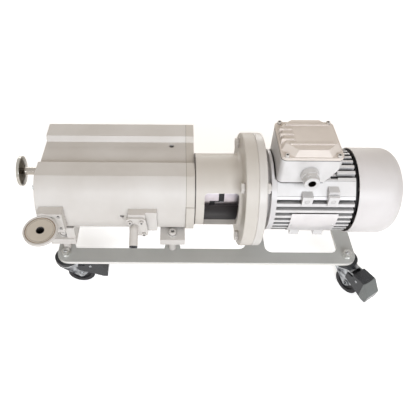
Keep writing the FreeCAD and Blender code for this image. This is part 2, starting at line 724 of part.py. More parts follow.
# heights and fronts that follow the barrels
crown_height = d.barrel_radius - d.crown_cut
valley_height = crown_height - d.channel_depth
web_drop = d.barrel_radius - d.web_cut
gallery_offset = (d.chamber_radius + d.barrel_radius) / 2
plate_radius = d.barrel_radius + d.plate_lip
manifold_front = d.barrel_radius + d.manifold_out
exhaust_out = manifold_front + d.exhaust_reach
pad_front = d.barrel_radius + d.pad_out_front
port_front = d.barrel_radius + d.port_out_front
foot_top = d.barrel_radius + d.foot_gap
mount_height = d.frame_drop - foot_top - d.foot_thickness

# stations along the shaft and the two rotor axes
axes = (0.0, d.centre_distance)
middle = d.centre_distance / 2
cover_left = -d.casing_length
bore_left = cover_left + d.cover_thickness
wall_one = bore_left + d.stage_one
wall_two = wall_one + d.divider + d.stage_two
wall_three = wall_two + d.divider + d.stage_three
wall_head = wall_three + d.divider + d.stage_four
gear_left = wall_head + d.bearing_wall_thickness
plate_right = d.plate_thickness
lantern_right = plate_right + d.lantern_length
flange_right = lantern_right + d.flange_thickness
neck_right = flange_right + d.neck_length
rim_right = neck_right + d.rim_length
frame_end = rim_right + d.frame_length
cowl_left = frame_end + d.cowl_gap
cowl_right = cowl_left + d.cowl_length

# row frame: the middle of the footprint on the floor
row_x = (d.casing_length + d.inlet_reach - cowl_right) / 2
row_y = (exhaust_out + d.exhaust_radius * cosine(d.exhaust_tilt)
         - d.centre_distance - d.frame_front + d.stud_in_y - d.cup_radius) / 2
row_z = d.frame_drop + d.frame_thickness + d.caster_height

nodes = {}


def finish(name, thing, x=0.0, y=0.0, z=0.0, turn=None):
    """Name a piece and move it to the row frame."""
    thing.Label = name
    move(thing, row_x + x, row_y + y, row_z + z)
    if turn is not None:
        thing.Placement = FreeCAD.Placement(
            thing.Placement.Base, FreeCAD.Rotation(FreeCAD.Vector(0, 0, 1), float(turn)))
        bind(thing, "Placement.Rotation.Angle", turn)
    nodes[name] = thing


# casing: outline of the two barrels, with flat crowns and a valley between


def barrels(sketch, upper, lower, split):
    """Closed outline of both barrels; below the split the radius grows to lower."""
    crown_in = root(upper * upper - crown_height * crown_height)
    web_in = root(lower * lower - web_drop * web_drop)
    split_upper = root(upper * upper - split * split)
    split_lower = root(lower * lower - split * split)
    top = middle + d.channel_width / 2
    floor = top - d.channel_draft
    back = d.centre_distance
    points = [(-crown_in, crown_height), (-split_upper, split, upper, 1)]
    if lower > upper:
        points.append((-split_lower, split))
    points += [
        (-split_lower, -split, lower, 1), (0.0, -lower, lower, 1), (web_in, -web_drop, lower, 1),
        (back - web_in, -web_drop), (back, -lower, lower, 1), (back + split_lower, -split, lower, 1),
        (back + split_lower, split, lower, 1)]
    if lower > upper:
        points.append((back + split_upper, split))
    points += [
        (back + crown_in, crown_height, upper, 1), (top, crown_height), (floor, valley_height),
        (d.centre_distance - floor, valley_height), (d.centre_distance - top, crown_height)]
    outline(sketch, points)


casing = new_body("casing_block")
shell_sketch = new_sketch(casing, "YZ_Plane", cover_left)
barrels(shell_sketch, d.barrel_radius, d.barrel_radius, d.plate_step)
pad(casing, shell_sketch, d.casing_length)
pad_left = -d.pad_from_face - d.pad_width
port_right = pad_left + d.port_width
for right, front, drop in ((-d.pad_from_face, pad_front, d.pad_drop),
                           (port_right, port_front, d.port_drop)):
    port_sketch = new_sketch(casing, "XZ_Plane", gallery_offset)
    rectangle(port_sketch, pad_left, -drop, right, d.pad_top)
    pad(casing, port_sketch, front - gallery_offset)
for y in axes:
    bore_sketch = new_sketch(casing, "YZ_Plane", bore_left)
    circle(bore_sketch, d.chamber_radius, y, 0.0)
    pocket(casing, bore_sketch, -bore_left)


def cover_shape(gap):
    """Two round lobes with a flat that stays below the valley."""
    span = d.centre_distance + d.cover_radius * 2
    flat = valley_height - d.cover_flat_drop - gap
    return common(figure(cover_left, d.cover_thickness, d.cover_radius - gap),
                  block(cover_left, -d.cover_radius, -d.cover_radius, d.cover_thickness, span,
                        d.cover_radius + flat))


# fastener positions in the end faces, (y, z)
screw_ring = (d.chamber_radius + d.barrel_radius) / 2
cover_ring = (d.chamber_radius + d.cover_radius) / 2
cover_middle = valley_height - d.cover_screw_drop
plate_middle = valley_height - d.plate_screw_drop
cover_spots = [(-cover_ring * cosine(45), cover_ring * sine(45)),
               (-cover_ring * cosine(45), -cover_ring * sine(45)),
               (d.centre_distance + cover_ring * cosine(45), cover_ring * sine(45)),
               (d.centre_distance + cover_ring * cosine(45), -cover_ring * sine(45)),
               (middle, cover_middle), (middle, -cover_middle)]
plate_spots = [(-screw_ring * cosine(45), screw_ring * sine(45)),
               (-screw_ring * cosine(45), -screw_ring * sine(45)),
               (d.centre_distance + screw_ring * cosine(45), screw_ring * sine(45)),
               (d.centre_distance + screw_ring * cosine(45), -screw_ring * sine(45)),
               (middle, plate_middle), (middle, -plate_middle)]
hole = d.screw_shank + d.running
manifold_left = cover_left + d.manifold_from_end
port_x = manifold_left + d.manifold_width / 2
stage_four_x = wall_head - d.stage_four / 2
foot_left_x = cover_left + d.foot_from_end + d.foot_width / 2
foot_right_x = -d.foot_width / 2
purge_spots = [(pad_left + d.purge_edge, d.purge_height),
               (pad_left + d.purge_edge + d.purge_span, d.purge_height),
               (pad_left + d.purge_edge + d.purge_span + d.purge_edge, d.purge_height - d.purge_fall)]
purge_x = pad_left + d.purge_tube_in
small_hole = d.small_shank + d.running
casing_tools = [
    cover_shape(0.0),
    rod("x", d.gallery_radius, -port_x + d.gallery_radius, port_x - d.gallery_radius,
        -gallery_offset, 0.0),
    rod("y", d.manifold_port, gallery_offset - d.chamber_radius + d.port_overlap, stage_four_x,
        -gallery_offset, 0.0),
    rod("y", d.manifold_port, d.barrel_radius - gallery_offset + d.overshoot, port_x,
        -d.barrel_radius - d.overshoot, 0.0),
    rod("y", d.purge_tube_bore, port_front - gallery_offset, purge_x, -port_front,
        -d.purge_tube_low),
    rod("z", d.lifting_hole, d.lifting_depth, -d.lifting_from_face, d.lifting_back,
        valley_height - d.lifting_depth),
    rod("z", d.lifting_seat, d.spot_depth, -d.lifting_from_face, d.lifting_back,
        valley_height - d.spot_depth),
    rod("y", d.plug_radius, d.plug_depth, -d.plug_from_face, -d.barrel_radius, 0.0),
    rod("y", d.plug_seat, d.spot_depth * 2, -d.plug_from_face, -d.barrel_radius - d.spot_depth, 0.0),
]
casing_tools += [rod("x", hole, d.screw_depth, bore_left, y, z) for y, z in cover_spots]
casing_tools += [rod("x", hole, d.screw_depth, -d.screw_depth, y, z) for y, z in plate_spots]
casing_tools += [rod("y", small_hole, d.small_depth, x, -port_front, z) for x, z in purge_spots]
foot_bolt_depth = d.foot_bolt_length - d.foot_thickness - foot_top + web_drop
casing_tools += [rod("z", d.foot_screw + d.running, foot_bolt_depth, x, middle, -web_drop)
                 for x in (foot_left_x, foot_right_x)]
manifold_inner = d.chamber_radius + d.manifold_wall
manifold_screw_x = manifold_left + d.manifold_width - d.manifold_edge
manifold_spots = [(manifold_screw_x, d.manifold_screw_height),
                  (manifold_screw_x, -d.manifold_screw_height)]
manifold_screw_reach = manifold_front - d.manifold_counterbore
casing_tools += [rod("y", small_hole, manifold_screw_reach - manifold_inner, x,
                     -manifold_screw_reach, z) for x, z in manifold_spots]
finish("pump_casing", cut(casing, casing_tools))

# end cover, stage walls and bearing wall
cover_tools = [rod("x", d.tail_bearing_radius + d.fit, d.tail_bearing_width,
                   bore_left - d.tail_bearing_width, y, 0.0) for y in axes]
cover_tools += [rod("x", hole, d.cover_thickness, cover_left, y, z) for y, z in cover_spots]
cover_tools.append(rod("x", d.inlet_tube_radius + d.running, d.cover_thickness, cover_left, middle,
                       d.inlet_height))
finish("end_cover", cut(cover_shape(d.wall_fit), cover_tools))

walls = []
for left, side in ((wall_one, -1), (wall_two, 1), (wall_three, -1)):
    tools = [rod("x", d.claw_shaft + d.running, d.divider, left, y, 0.0) for y in axes]
    tools.append(rod("x", d.transfer_radius, d.divider, left, d.transfer_out, d.transfer_drop * side))
    walls.append(cut(figure(left, d.divider, d.chamber_radius - d.wall_fit), tools))
finish("stage_plates", gather(walls))

head_seat = gear_left - d.head_bearing_width
head_tools = [rod("x", d.head_bearing_radius + d.fit, d.head_bearing_width, head_seat, y, 0.0)
              for y in axes]
head_tools += [rod("x", d.head_journal + d.running, d.bearing_wall_thickness, wall_head, y, 0.0)
               for y in axes]
finish("bearing_wall", cut(figure(wall_head, d.bearing_wall_thickness,
                                  d.chamber_radius - d.wall_fit), head_tools))

# drive-end plate
plate = new_body("plate_block")
plate_sketch = new_sketch(plate, "YZ_Plane")
barrels(plate_sketch, d.barrel_radius, plate_radius, d.plate_step)
pad(plate, plate_sketch, d.plate_thickness)
seal_left = plate_right - d.seal_width
head_length = d.screw_shank * 2
lantern_spots = spread((d.lantern_floor_bore + d.lantern_radius - d.lantern_wall) / 2,
                       (45, 135, 225, 315))
plate_tools = [rod("x", d.seal_land + d.running, plate_right, 0.0, 0.0, 0.0),
               rod("x", d.seal_radius + d.fit, d.seal_width, seal_left, 0.0, 0.0)]
plate_tools += [rod("x", hole, plate_right, 0.0, y, z) for y, z in plate_spots]
plate_tools += [rod("x", d.screw_head + d.running, head_length, plate_right - head_length, y, z)
                for y, z in plate_spots]
plate_tools += [rod("x", hole, d.lantern_screw_depth, plate_right - d.lantern_screw_depth, y, z)
                for y, z in lantern_spots]
finish("drive_end_plate", cut(plate, plate_tools))

screws = [cap_screw("x", d.screw_head, d.screw_shank, d.screw_depth + d.cover_thickness - d.screw_gap,
                    cover_left, y, z) for y, z in cover_spots]
screws += [cap_screw("x", d.screw_head, d.screw_shank,
                     plate_right - head_length + d.screw_depth - d.screw_gap,
                     plate_right - head_length, y, z, -1) for y, z in plate_spots]
lantern_floor_right = plate_right + d.lantern_floor
screws += [cap_screw("x", d.screw_head, d.screw_shank,
                     d.lantern_floor + d.lantern_screw_depth - d.screw_gap, lantern_floor_right, y, z, -1)
           for y, z in lantern_spots]
finish("casing_screws", gather(screws))

# rotor shafts, bearings and seal
tail_end = bore_left - d.tail_bearing_width + d.side_gap
shoulder = bore_left + d.side_gap
step_points = [(tail_end, 0.0), (tail_end, d.tail_journal), (shoulder, d.tail_journal),
               (shoulder, d.claw_shaft), (wall_head, d.claw_shaft), (wall_head, d.head_journal),
               (gear_left, d.head_journal), (gear_left, d.gear_seat)]
drive_end = plate_right + d.pump_hub_from_plate + d.pump_hub_length - d.shaft_short
finish("drive_rotor_shaft", turned("drive_shaft_body", step_points + [
    (0.0, d.gear_seat), (0.0, d.seal_land), (plate_right, d.seal_land),
    (plate_right, d.coupling_seat), (drive_end, d.coupling_seat), (drive_end, 0.0)]))
driven_end = -d.side_gap
finish("driven_rotor_shaft", turned("driven_shaft_body", step_points + [
    (driven_end, d.gear_seat), (driven_end, 0.0)], d.centre_distance))


def bearing(left, width, inner, outer, y=0.0):
    """Shielded ball bearing, with both rings proud of its shields."""
    land = (outer - inner) * d.bearing_land
    sunk = d.shield_sunk
    tools = [cut(rod("x", outer - land, sunk, x, y, 0.0), [rod("x", inner + land, sunk, x, y, 0.0)])
             for x in (left, left + width - sunk)]
    return cut(ring(left, left + width, inner, outer, y), tools)


finish("pump_bearings", gather(
    [bearing(bore_left - d.tail_bearing_width, d.tail_bearing_width, d.tail_journal + d.running,
             d.tail_bearing_radius, y) for y in axes]
    + [bearing(head_seat, d.head_bearing_width, d.head_journal + d.running,
               d.head_bearing_radius, y) for y in axes]))
finish("shaft_seal", gather([bearing(seal_left, d.seal_width, d.seal_land + d.running,
                                     d.seal_radius)]))

# claw rotors: hooked leading flanks cut by the mate's tip, two claws on each disc
tip = float(d.chamber_radius - d.tip_gap)
mate = tip + float(d.mesh_gap)
centres = float(d.centre_distance)
valley_radius = centres - mate
contact = math.acos(centres / 2 / mate)


def flank_points():
    """Leading flank from the tip to the valley, as (radius, angle behind the corner)."""
    points = []
    for step in range(13):
        turn = contact * (1 - step / 12)
        radius = math.sqrt(centres ** 2 + mate ** 2 - 2 * centres * mate * math.cos(turn))
        seen = math.atan2(mate * math.sin(turn), centres - mate * math.cos(turn))
        points.append((min(radius, tip), seen - turn))
    return points


def claw_face(phase, mirror, y):
    """Flat outline of one claw disc about the axis at y."""

    def spot(radius, angle):
        return FreeCAD.Vector(0, y + mirror * radius * math.cos(angle), radius * math.sin(angle))

    def curve(points):
        spline = Part.BSplineCurve()
        spline.interpolate([spot(radius, angle) for radius, angle in points])
        return spline.toShape()

    def arc(radius, start, end):
        return Part.Arc(spot(radius, start), spot(radius, (start + end) / 2), spot(radius, end)).toShape()

    land = math.radians(d.claw_tip_angle)
    back = math.radians(d.claw_back_angle)
    edges = []
    for claw in range(2):
        corner = math.radians(phase) + claw * math.pi
        flank = [(radius, corner - behind) for radius, behind in flank_points()]
        slope = []
        for step in range(9):
            share = step / 8
            radius = valley_radius + (tip - valley_radius) * (1 - math.cos(math.pi * share)) / 2
            slope.append((radius, corner - land - back * (1 - share)))
        edges.append(curve(slope))
        edges.append(arc(tip, corner - land, flank[0][1]))
        edges.append(curve(flank))
        edges.append(arc(valley_radius, corner, corner + math.pi - land - back))
    return Part.Face(Part.Wire(Part.__sortEdges__(edges)))


def claw_stack(name, phase, mirror, y):
    """Four discs of one rotor, one in each stage."""
    shapes = []
    bore = float(d.claw_shaft + d.fit)
    for left, length in ((bore_left, d.stage_one), (wall_one + d.divider, d.stage_two),
                         (wall_two + d.divider, d.stage_three), (wall_three + d.divider, d.stage_four)):
        start = float(left + d.side_gap)
        width = float(length - d.side_gap * 2)
        disc = claw_face(phase, mirror, float(y)).extrude(FreeCAD.Vector(width, 0, 0))
        disc.translate(FreeCAD.Vector(start, 0, 0))
        hub = Part.makeCylinder(bore, width, FreeCAD.Vector(start, float(y), 0), FreeCAD.Vector(1, 0, 0))
        shapes.append(disc.cut(hub))
    made = doc.addObject("Part::Feature", name)
    made.Shape = Part.makeCompound(shapes)
    finish(name, gather([made]))


claw_stack("drive_claws", 80.0, 1, axes[0])
claw_stack("driven_claws", 170.0, -1, axes[1])

# timing gears


def gear_face(y, shift):
    """Involute outline with a tooth centred on the shift angle."""
    teeth = int(d.gear_teeth)
    pitch = float(d.gear_module) * teeth / 2
    base = pitch * math.cos(math.radians(float(d.pressure_angle)))
    outer = pitch + float(d.gear_module)
    bottom = pitch - float(d.gear_root) * float(d.gear_module)
    half = math.pi / teeth / 2 - float(d.backlash) / pitch / 4

    def involute(radius):
        roll = math.sqrt(max((radius / base) ** 2 - 1, 0))
        return roll - math.atan(roll)

    steps = [base + (outer - base) * share / 3 for share in range(4)]
    side = [(radius, half + involute(pitch) - involute(radius)) for radius in steps]
    profile = [(bottom, side[0][1])] + side
    points = []
    for tooth in range(teeth):
        centre = shift + tooth * 2 * math.pi / teeth
        for radius, angle in profile:
            points.append((radius, centre - angle))
        for radius, angle in reversed(profile):
            points.append((radius, centre + angle))
    corners = [FreeCAD.Vector(0, y + radius * math.cos(angle), radius * math.sin(angle))
               for radius, angle in points]
    return Part.Face(Part.makePolygon(corners + corners[:1]))


def timing_gear(name, y, shift):
    width = float(d.gear_width)
    start = (float(gear_left) - width) / 2
    body = gear_face(float(y), shift).extrude(FreeCAD.Vector(width, 0, 0))
    body.translate(FreeCAD.Vector(start, 0, 0))
    hub = Part.makeCylinder(float(d.gear_seat + d.fit), width, FreeCAD.Vector(start, float(y), 0),
                            FreeCAD.Vector(1, 0, 0))
    made = doc.addObject("Part::Feature", name)
    made.Shape = body.cut(hub)
    finish(name, gather([made]))


timing_gear("drive_timing_gear", axes[0], 0.0)
timing_gear("driven_timing_gear", axes[1], math.pi + math.pi / float(d.gear_teeth))

# inlet flange with its neck
inlet_face = cover_left - d.inlet_reach
finish("inlet_flange", turned("inlet_body", [
    (inlet_face, d.inlet_bore), (inlet_face, d.inlet_recess),
    (inlet_face + d.inlet_recess_depth, d.inlet_recess),
    (inlet_face + d.inlet_recess_depth, d.inlet_recess + d.inlet_groove),
    (inlet_face, d.inlet_recess + d.inlet_groove), (inlet_face, d.inlet_flange_radius),
    (inlet_face + d.inlet_rim, d.inlet_flange_radius),
    (inlet_face + d.inlet_rim + d.inlet_back, d.inlet_tube_radius),
    (bore_left, d.inlet_tube_radius), (bore_left, d.inlet_bore)], middle, d.inlet_height))

# exhaust manifold, bolted to the front barrel, with a notch for the round housing
exhaust_x = cover_left + d.exhaust_from_end


def leaning(thing):
    """Set a piece of the exhaust on its tilted axis."""
    tilt = FreeCAD.Rotation(FreeCAD.Vector(1, 0, 0), float(d.exhaust_tilt))
    move(thing, exhaust_x, -exhaust_out, d.exhaust_up, tilt)
    bind(thing, "Placement.Rotation.Angle", d.exhaust_tilt)
    return thing


manifold_block = block(manifold_left, -manifold_front, -d.manifold_drop, d.manifold_width,
                       manifold_front - manifold_inner, d.manifold_top + d.manifold_drop)
passage = d.manifold_port
manifold_tools = [
    rod("x", d.barrel_radius + d.seat_gap, d.manifold_width, manifold_left, 0.0, 0.0),
    rod("y", passage, manifold_front - manifold_inner - passage, port_x,
        -manifold_front + passage, 0.0),
    rod("x", passage, port_x - exhaust_x, exhaust_x, -manifold_front + d.link_depth, -passage),
    rod("y", passage, passage * 2, exhaust_x, -manifold_front, -passage)]
notch_depth = d.exhaust_depth + d.seat_gap
manifold_tools.append(leaning(gather([rod("z", d.exhaust_radius + d.seat_gap, d.notch_height, 0.0, 0.0,
                                          -notch_depth)])))
manifold_tools += [rod("y", small_hole, manifold_front, x, -manifold_front, z)
                   for x, z in manifold_spots]
manifold_tools += [rod("y", d.small_head + d.running, d.manifold_counterbore, x,
                       -manifold_front, z) for x, z in manifold_spots]
finish("exhaust_manifold", cut(manifold_block, manifold_tools))

# exhaust housing and its inset disc, leaning to the front
inset = d.disc_thickness + d.disc_sunk
housing = leaning(cut(fuse([
    rod("z", d.exhaust_radius, d.exhaust_depth, 0.0, 0.0, -d.exhaust_depth),
    rod("z", d.exhaust_neck, d.exhaust_neck_depth, 0.0, 0.0, -d.exhaust_depth - d.exhaust_neck_depth)]),
    [rod("z", d.exhaust_radius - d.exhaust_rim, inset, 0.0, 0.0, -inset)]))
link = rod("y", passage + d.link_wall, d.exhaust_reach, exhaust_x, -exhaust_out, -passage)
riser = leaning(gather([rod("z", d.exhaust_bore, d.exhaust_neck_depth, 0.0, 0.0,
                            -inset - d.exhaust_neck_depth)]))
outlet = rod("y", passage, d.exhaust_reach, exhaust_x, -exhaust_out, -passage)
finish("exhaust_housing", cut(fuse([housing, link]), [riser, outlet]))
disc_radius = d.exhaust_radius - d.exhaust_rim - d.seat_gap
groove_bottom = -d.disc_sunk - d.disc_groove
disc_line = cut(
    rod("z", disc_radius - d.disc_groove_in, d.disc_groove, 0.0, 0.0, groove_bottom),
    [rod("z", disc_radius - d.disc_groove_in - d.disc_groove, d.disc_groove, 0.0, 0.0,
         groove_bottom)])
disc = cut(rod("z", disc_radius, d.disc_thickness, 0.0, 0.0, -inset),
           [rod("z", d.exhaust_bore, d.disc_thickness, 0.0, 0.0, -inset), disc_line])
finish("exhaust_disc", gather([leaning(disc)]))

# purge port: flange with three lobes and a bent tube
purge = new_body("purge_body")
purge_sketch = new_sketch(purge, "XZ_Plane", port_front)
outline(purge_sketch, hull([purge_spots[0], purge_spots[2], purge_spots[1]], d.purge_lobe))
pad(purge, purge_sketch, d.purge_plate)
purge_front = -port_front - d.purge_plate
purge_tools = [rod("y", small_hole, d.purge_plate, x, purge_front, z) for x, z in purge_spots]
purge_tools.append(rod("y", d.purge_tube_bore, d.purge_plate, purge_x, purge_front,
                       -d.purge_tube_low))
finish("purge_flange", cut(purge, purge_tools))


def bent_tube(radius, extra):
    """Stub out of the flange, then down and a little forward."""
    elbow_y = purge_front - d.purge_tube_radius
    down = rod("z", radius, d.purge_tube_length + extra, 0.0, 0.0, -d.purge_tube_length - extra)
    swung = gather([down])
    lean = FreeCAD.Rotation(FreeCAD.Vector(-1, 0, 0), float(d.purge_tube_lean))
    move(swung, purge_x, elbow_y, -d.purge_tube_low, lean)
    bind(swung, "Placement.Rotation.Angle", d.purge_tube_lean)
    ball = doc.addObject("Part::Sphere", "elbow")
    bind(ball, "Radius", radius)
    move(ball, purge_x, elbow_y, -d.purge_tube_low)
    stub = rod("y", radius, d.purge_tube_radius, purge_x, elbow_y, -d.purge_tube_low)
    return fuse([swung, ball, stub])


finish("purge_tube", cut(bent_tube(d.purge_tube_radius, 0.0), [bent_tube(d.purge_tube_bore, 1.0)]))

port_screws = [cap_screw("y", d.small_head, d.small_shank, d.purge_plate + d.small_depth - d.screw_gap, x,
                         purge_front, z) for x, z in purge_spots]
manifold_seat = -manifold_front + d.manifold_counterbore
port_screws += [cap_screw("y", d.small_head, d.small_shank,
                          -manifold_seat - manifold_inner - d.screw_gap, x, manifold_seat, z)
                for x, z in manifold_spots]
finish("port_screws", gather(port_screws))

# feet, their screws and the posts under them
foot_bottom = -foot_top - d.foot_thickness
foot_back = d.centre_distance + d.mount_out
mounts = [(x, y) for x in (foot_left_x, foot_right_x) for y in (-d.mount_out, foot_back)]
foot_hole = d.foot_screw + d.running


def foot(name, x, webs=()):
    """Foot under the casing; webs are the starts of upright walls at its right end."""
    half = d.foot_width / 2
    flange = block(x - half, -d.foot_reach, foot_bottom, d.foot_width,
                   d.centre_distance + d.foot_reach * 2, d.foot_thickness)
    saddle = block(x - half, d.foot_saddle, -foot_top, d.foot_width,
                   d.centre_distance - d.foot_saddle * 2, foot_top - web_drop)
    tools = [rod("x", d.barrel_radius + d.seat_gap, d.foot_width, x - half, y, 0.0) for y in axes]
    tools += [rod("z", foot_hole, d.foot_thickness, x, y, foot_bottom) for y in (-d.mount_out, foot_back)]
    tools.append(rod("z", foot_hole, d.foot_bolt_length, x, middle, foot_bottom))
    walls = [block(x + half - d.foot_web, y, -foot_top, d.foot_web, web_reach, d.foot_web_height)
             for y in webs]
    finish(name, cut(fuse([flange, saddle] + walls), tools))


web_reach = d.foot_reach - d.foot_web_back
foot("left_foot", foot_left_x, (-web_reach, d.centre_distance))
foot("right_foot", foot_right_x)
mount_screw_depth = mount_height * d.mount_hole_share
foot_screws = [cap_screw("z", d.foot_screw_head, d.foot_screw,
                         d.foot_thickness + mount_screw_depth - d.screw_gap, x, y, -foot_top, -1)
               for x, y in mounts]
foot_screws += [cap_screw("z", d.foot_screw_head, d.foot_screw, d.foot_bolt_length - d.screw_gap, x, middle,
                          foot_bottom) for x in (foot_left_x, foot_right_x)]
finish("foot_screws", gather(foot_screws))
posts = []
for x, y in mounts:
    post = cut(rod("z", d.mount_radius, mount_height, x, y, -d.frame_drop),
                  [rod("z", foot_hole, mount_screw_depth, x, y, foot_bottom - mount_screw_depth)])
    stud = rod("z", d.foot_screw, d.frame_thickness, x, y, -d.frame_drop - d.frame_thickness)
    posts.append(fuse([post, stud]))
finish("foot_posts", gather(posts))

# coupling lantern
lantern_inner = d.lantern_radius - d.lantern_wall
lantern_flange_left = lantern_right - d.lantern_flange
register = lantern_right - d.spigot_length - d.spigot_gap
lantern = new_body("lantern_body")
lantern_sketch = new_sketch(lantern, "XZ_Plane")
outline(lantern_sketch, [
    (plate_right, d.lantern_floor_bore), (plate_right, d.lantern_radius - d.seam),
    (plate_right + d.seam, d.lantern_radius - d.seam), (plate_right + d.seam, d.lantern_radius),
    (lantern_flange_left - d.cast_fillet, d.lantern_radius),
    (lantern_flange_left, d.lantern_radius + d.cast_fillet, d.cast_fillet, 1),
    (lantern_flange_left, d.flange_radius - d.flange_edge),
    (lantern_flange_left + d.flange_edge, d.flange_radius, d.flange_edge, -1),
    (lantern_right - d.seam, d.flange_radius), (lantern_right, d.flange_radius - d.seam),
    (lantern_right, d.spigot_radius + d.wall_fit),
    (register, d.spigot_radius + d.wall_fit), (register, lantern_inner),
    (lantern_floor_right, lantern_inner), (lantern_floor_right, d.lantern_floor_bore)])
revolve(lantern, lantern_sketch)
window_left = plate_right + d.window_from_plate
window_sketch = new_sketch(lantern, "XZ_Plane")
rounded(window_sketch, window_left, -d.window_half_height, window_left + d.window_length,
        d.window_half_height, d.window_corner)
pocket(lantern, window_sketch, d.flange_radius * 2, both=True)
bolt_spots = spread(d.bolt_circle, (45, 135, 225, 315))
lantern_tools = [rod("x", d.bolt_hole, d.lantern_flange, lantern_flange_left, y, z)
                 for y, z in bolt_spots]
lantern_tools += [rod("x", hole, d.lantern_floor, plate_right, y, z) for y, z in lantern_spots]
finish("coupling_lantern", cut(lantern, lantern_tools))

flange_bolts = []
for y, z in bolt_spots:
    head = hexagon("x", d.bolt_across, d.bolt_head, lantern_flange_left - d.bolt_head, y, z)
    shank = rod("x", d.flange_bolt, flange_right - lantern_flange_left + d.bolt_end,
                lantern_flange_left, y, z)
    nut = hexagon("x", d.bolt_across, d.bolt_head, flange_right, y, z)
    flange_bolts.append(fuse([head, shank, nut]))
finish("flange_bolts", gather(flange_bolts))

# jaw coupling
hub_left = plate_right + d.pump_hub_from_plate
spider_left = hub_left + d.pump_hub_length
spider_right = spider_left + d.spider_length
jaw_starts = [d.jaw_start + d.jaw_pitch * index for index in range(3)]
facing_starts = [d.jaw_start + d.jaw_pitch * (index + 0.5) for index in range(3)]


def hub(name, left, length, starts, jaw_from):
    jaws = [sector(start, d.jaw_angle, d.jaw_inner, d.hub_radius, jaw_from, jaw_from + d.jaw_length)
            for start in starts]
    whole = fuse([rod("x", d.hub_radius, length, left, 0.0, 0.0)] + jaws)
    grub = rod("z", d.small_shank, d.hub_radius, left + length / 2, 0.0, 0.0)
    finish(name, cut(whole, [rod("x", d.coupling_seat + d.fit, length, left, 0.0, 0.0), grub]))


hub("pump_hub", hub_left, d.pump_hub_length, jaw_starts, spider_left)
hub("motor_hub", spider_right, d.motor_hub_length, facing_starts, spider_right - d.jaw_length)
spider_tools = [rod("x", d.coupling_seat + 1.0, d.spider_length, spider_left, 0.0, 0.0)]
for starts, left in ((jaw_starts, spider_left), (facing_starts, spider_right - d.jaw_length - d.jaw_gap)):
    spider_tools += [sector(start - d.jaw_relief, d.jaw_angle + d.jaw_relief * 2,
                            d.jaw_inner - d.jaw_gap, d.hub_radius + d.overshoot, left,
                            left + d.jaw_length + d.jaw_gap) for start in starts]
finish("coupling_spider", cut(rod("x", d.hub_radius - d.jaw_gap, d.spider_length - d.jaw_gap * 2,
                                  spider_left + d.jaw_gap, 0.0, 0.0), spider_tools))

# motor shields, shaft and bearings
bearing_front = lantern_right + d.bearing_setback
bearing_rear = frame_end - d.motor_bearing_width + d.bearing_setback
seat = d.motor_bearing_radius + d.fit
boss = d.motor_bearing_radius + d.boss_wall
register_out = d.stator_radius - d.wall_fit
register_in = register_out - d.register_wall
free = d.motor_bearing_seat + d.shaft_room
register_right = rim_right + d.register_length
shield_floor = flange_right + d.shield_web
spigot_left = lantern_right - d.spigot_length
bearing_front_end = bearing_front + d.motor_bearing_width
flange_shield = turned("flange_shield_body", [
    (spigot_left, free), (spigot_left, d.spigot_radius), (lantern_right, d.spigot_radius),
    (lantern_right, d.flange_radius - d.seam), (lantern_right + d.seam, d.flange_radius),
    (flange_right - d.flange_edge, d.flange_radius),
    (flange_right, d.flange_radius - d.flange_edge, d.flange_edge, -1),
    (flange_right, d.neck_radius), (neck_right, d.neck_radius),
    (neck_right, d.frame_radius), (rim_right, d.frame_radius),
    (rim_right, register_out), (register_right, register_out), (register_right, register_in),
    (shield_floor, register_in), (shield_floor, boss), (bearing_front_end, boss),
    (bearing_front_end, seat), (bearing_front, seat), (bearing_front, free)])
shield_spots = spread((d.frame_core + d.rib_radius) / 2, (45, 135, 225, 315))
shield_tools = [rod("x", d.bolt_hole, d.flange_thickness, lantern_right, y, z) for y, z in bolt_spots]
shield_tools += [rod("x", hole, d.rim_length, neck_right, y, z) for y, z in shield_spots]
shield_tools.append(block(rim_right - d.rim_length / 2, -d.box_width / 2 - d.box_room, d.box_seat,
                          d.rim_length, d.box_width + d.box_room * 2, d.frame_radius - d.box_seat))
finish("motor_flange_shield", cut(flange_shield, shield_tools))

rear_right = frame_end + d.shield_wall
rear_bearing_end = bearing_rear + d.motor_bearing_width
register_left = frame_end - d.register_length
rear_floor = frame_end + d.shield_web
rear_radius = d.neck_radius + d.rear_lip
rear_shield = turned("rear_shield_body", [
    (register_left, register_in), (register_left, register_out), (frame_end, register_out),
    (frame_end, rear_radius), (rear_right, rear_radius), (rear_right, free),
    (rear_bearing_end, free), (rear_bearing_end, seat), (bearing_rear, seat), (bearing_rear, boss),
    (rear_floor, boss), (rear_floor, register_in)])
cowl_inner = d.cowl_radius - d.cowl_wall
lug_length = rear_right - cowl_left
lug_reach = cowl_inner * 2
lugs = common(fuse([block(cowl_left, -cowl_inner, -d.lug_half, lug_length, lug_reach, d.lug_half * 2),
                    block(cowl_left, -d.lug_half, -cowl_inner, lug_length, d.lug_half * 2, lug_reach)]),
              ring(cowl_left, rear_right, d.neck_radius, cowl_inner - d.seat_gap))
rear_spots = spread(d.neck_radius - d.overshoot, (45, 135, 225, 315))
rear_hole = d.small_shank + d.running
rear_tools = [rod("x", rear_hole, d.shield_wall, frame_end, y, z) for y, z in rear_spots]
finish("rear_shield", cut(fuse([rear_shield, lugs]), rear_tools))

front_screws = [cap_screw("x", d.screw_head, d.screw_shank, d.rim_length + d.screw_depth - d.screw_gap,
                          neck_right, y, z) for y, z in shield_spots]
rear_screws = [cap_screw("x", d.small_head, d.small_shank, d.shield_wall + d.small_depth - d.screw_gap,
                         rear_right, y, z, -1) for y, z in rear_spots]

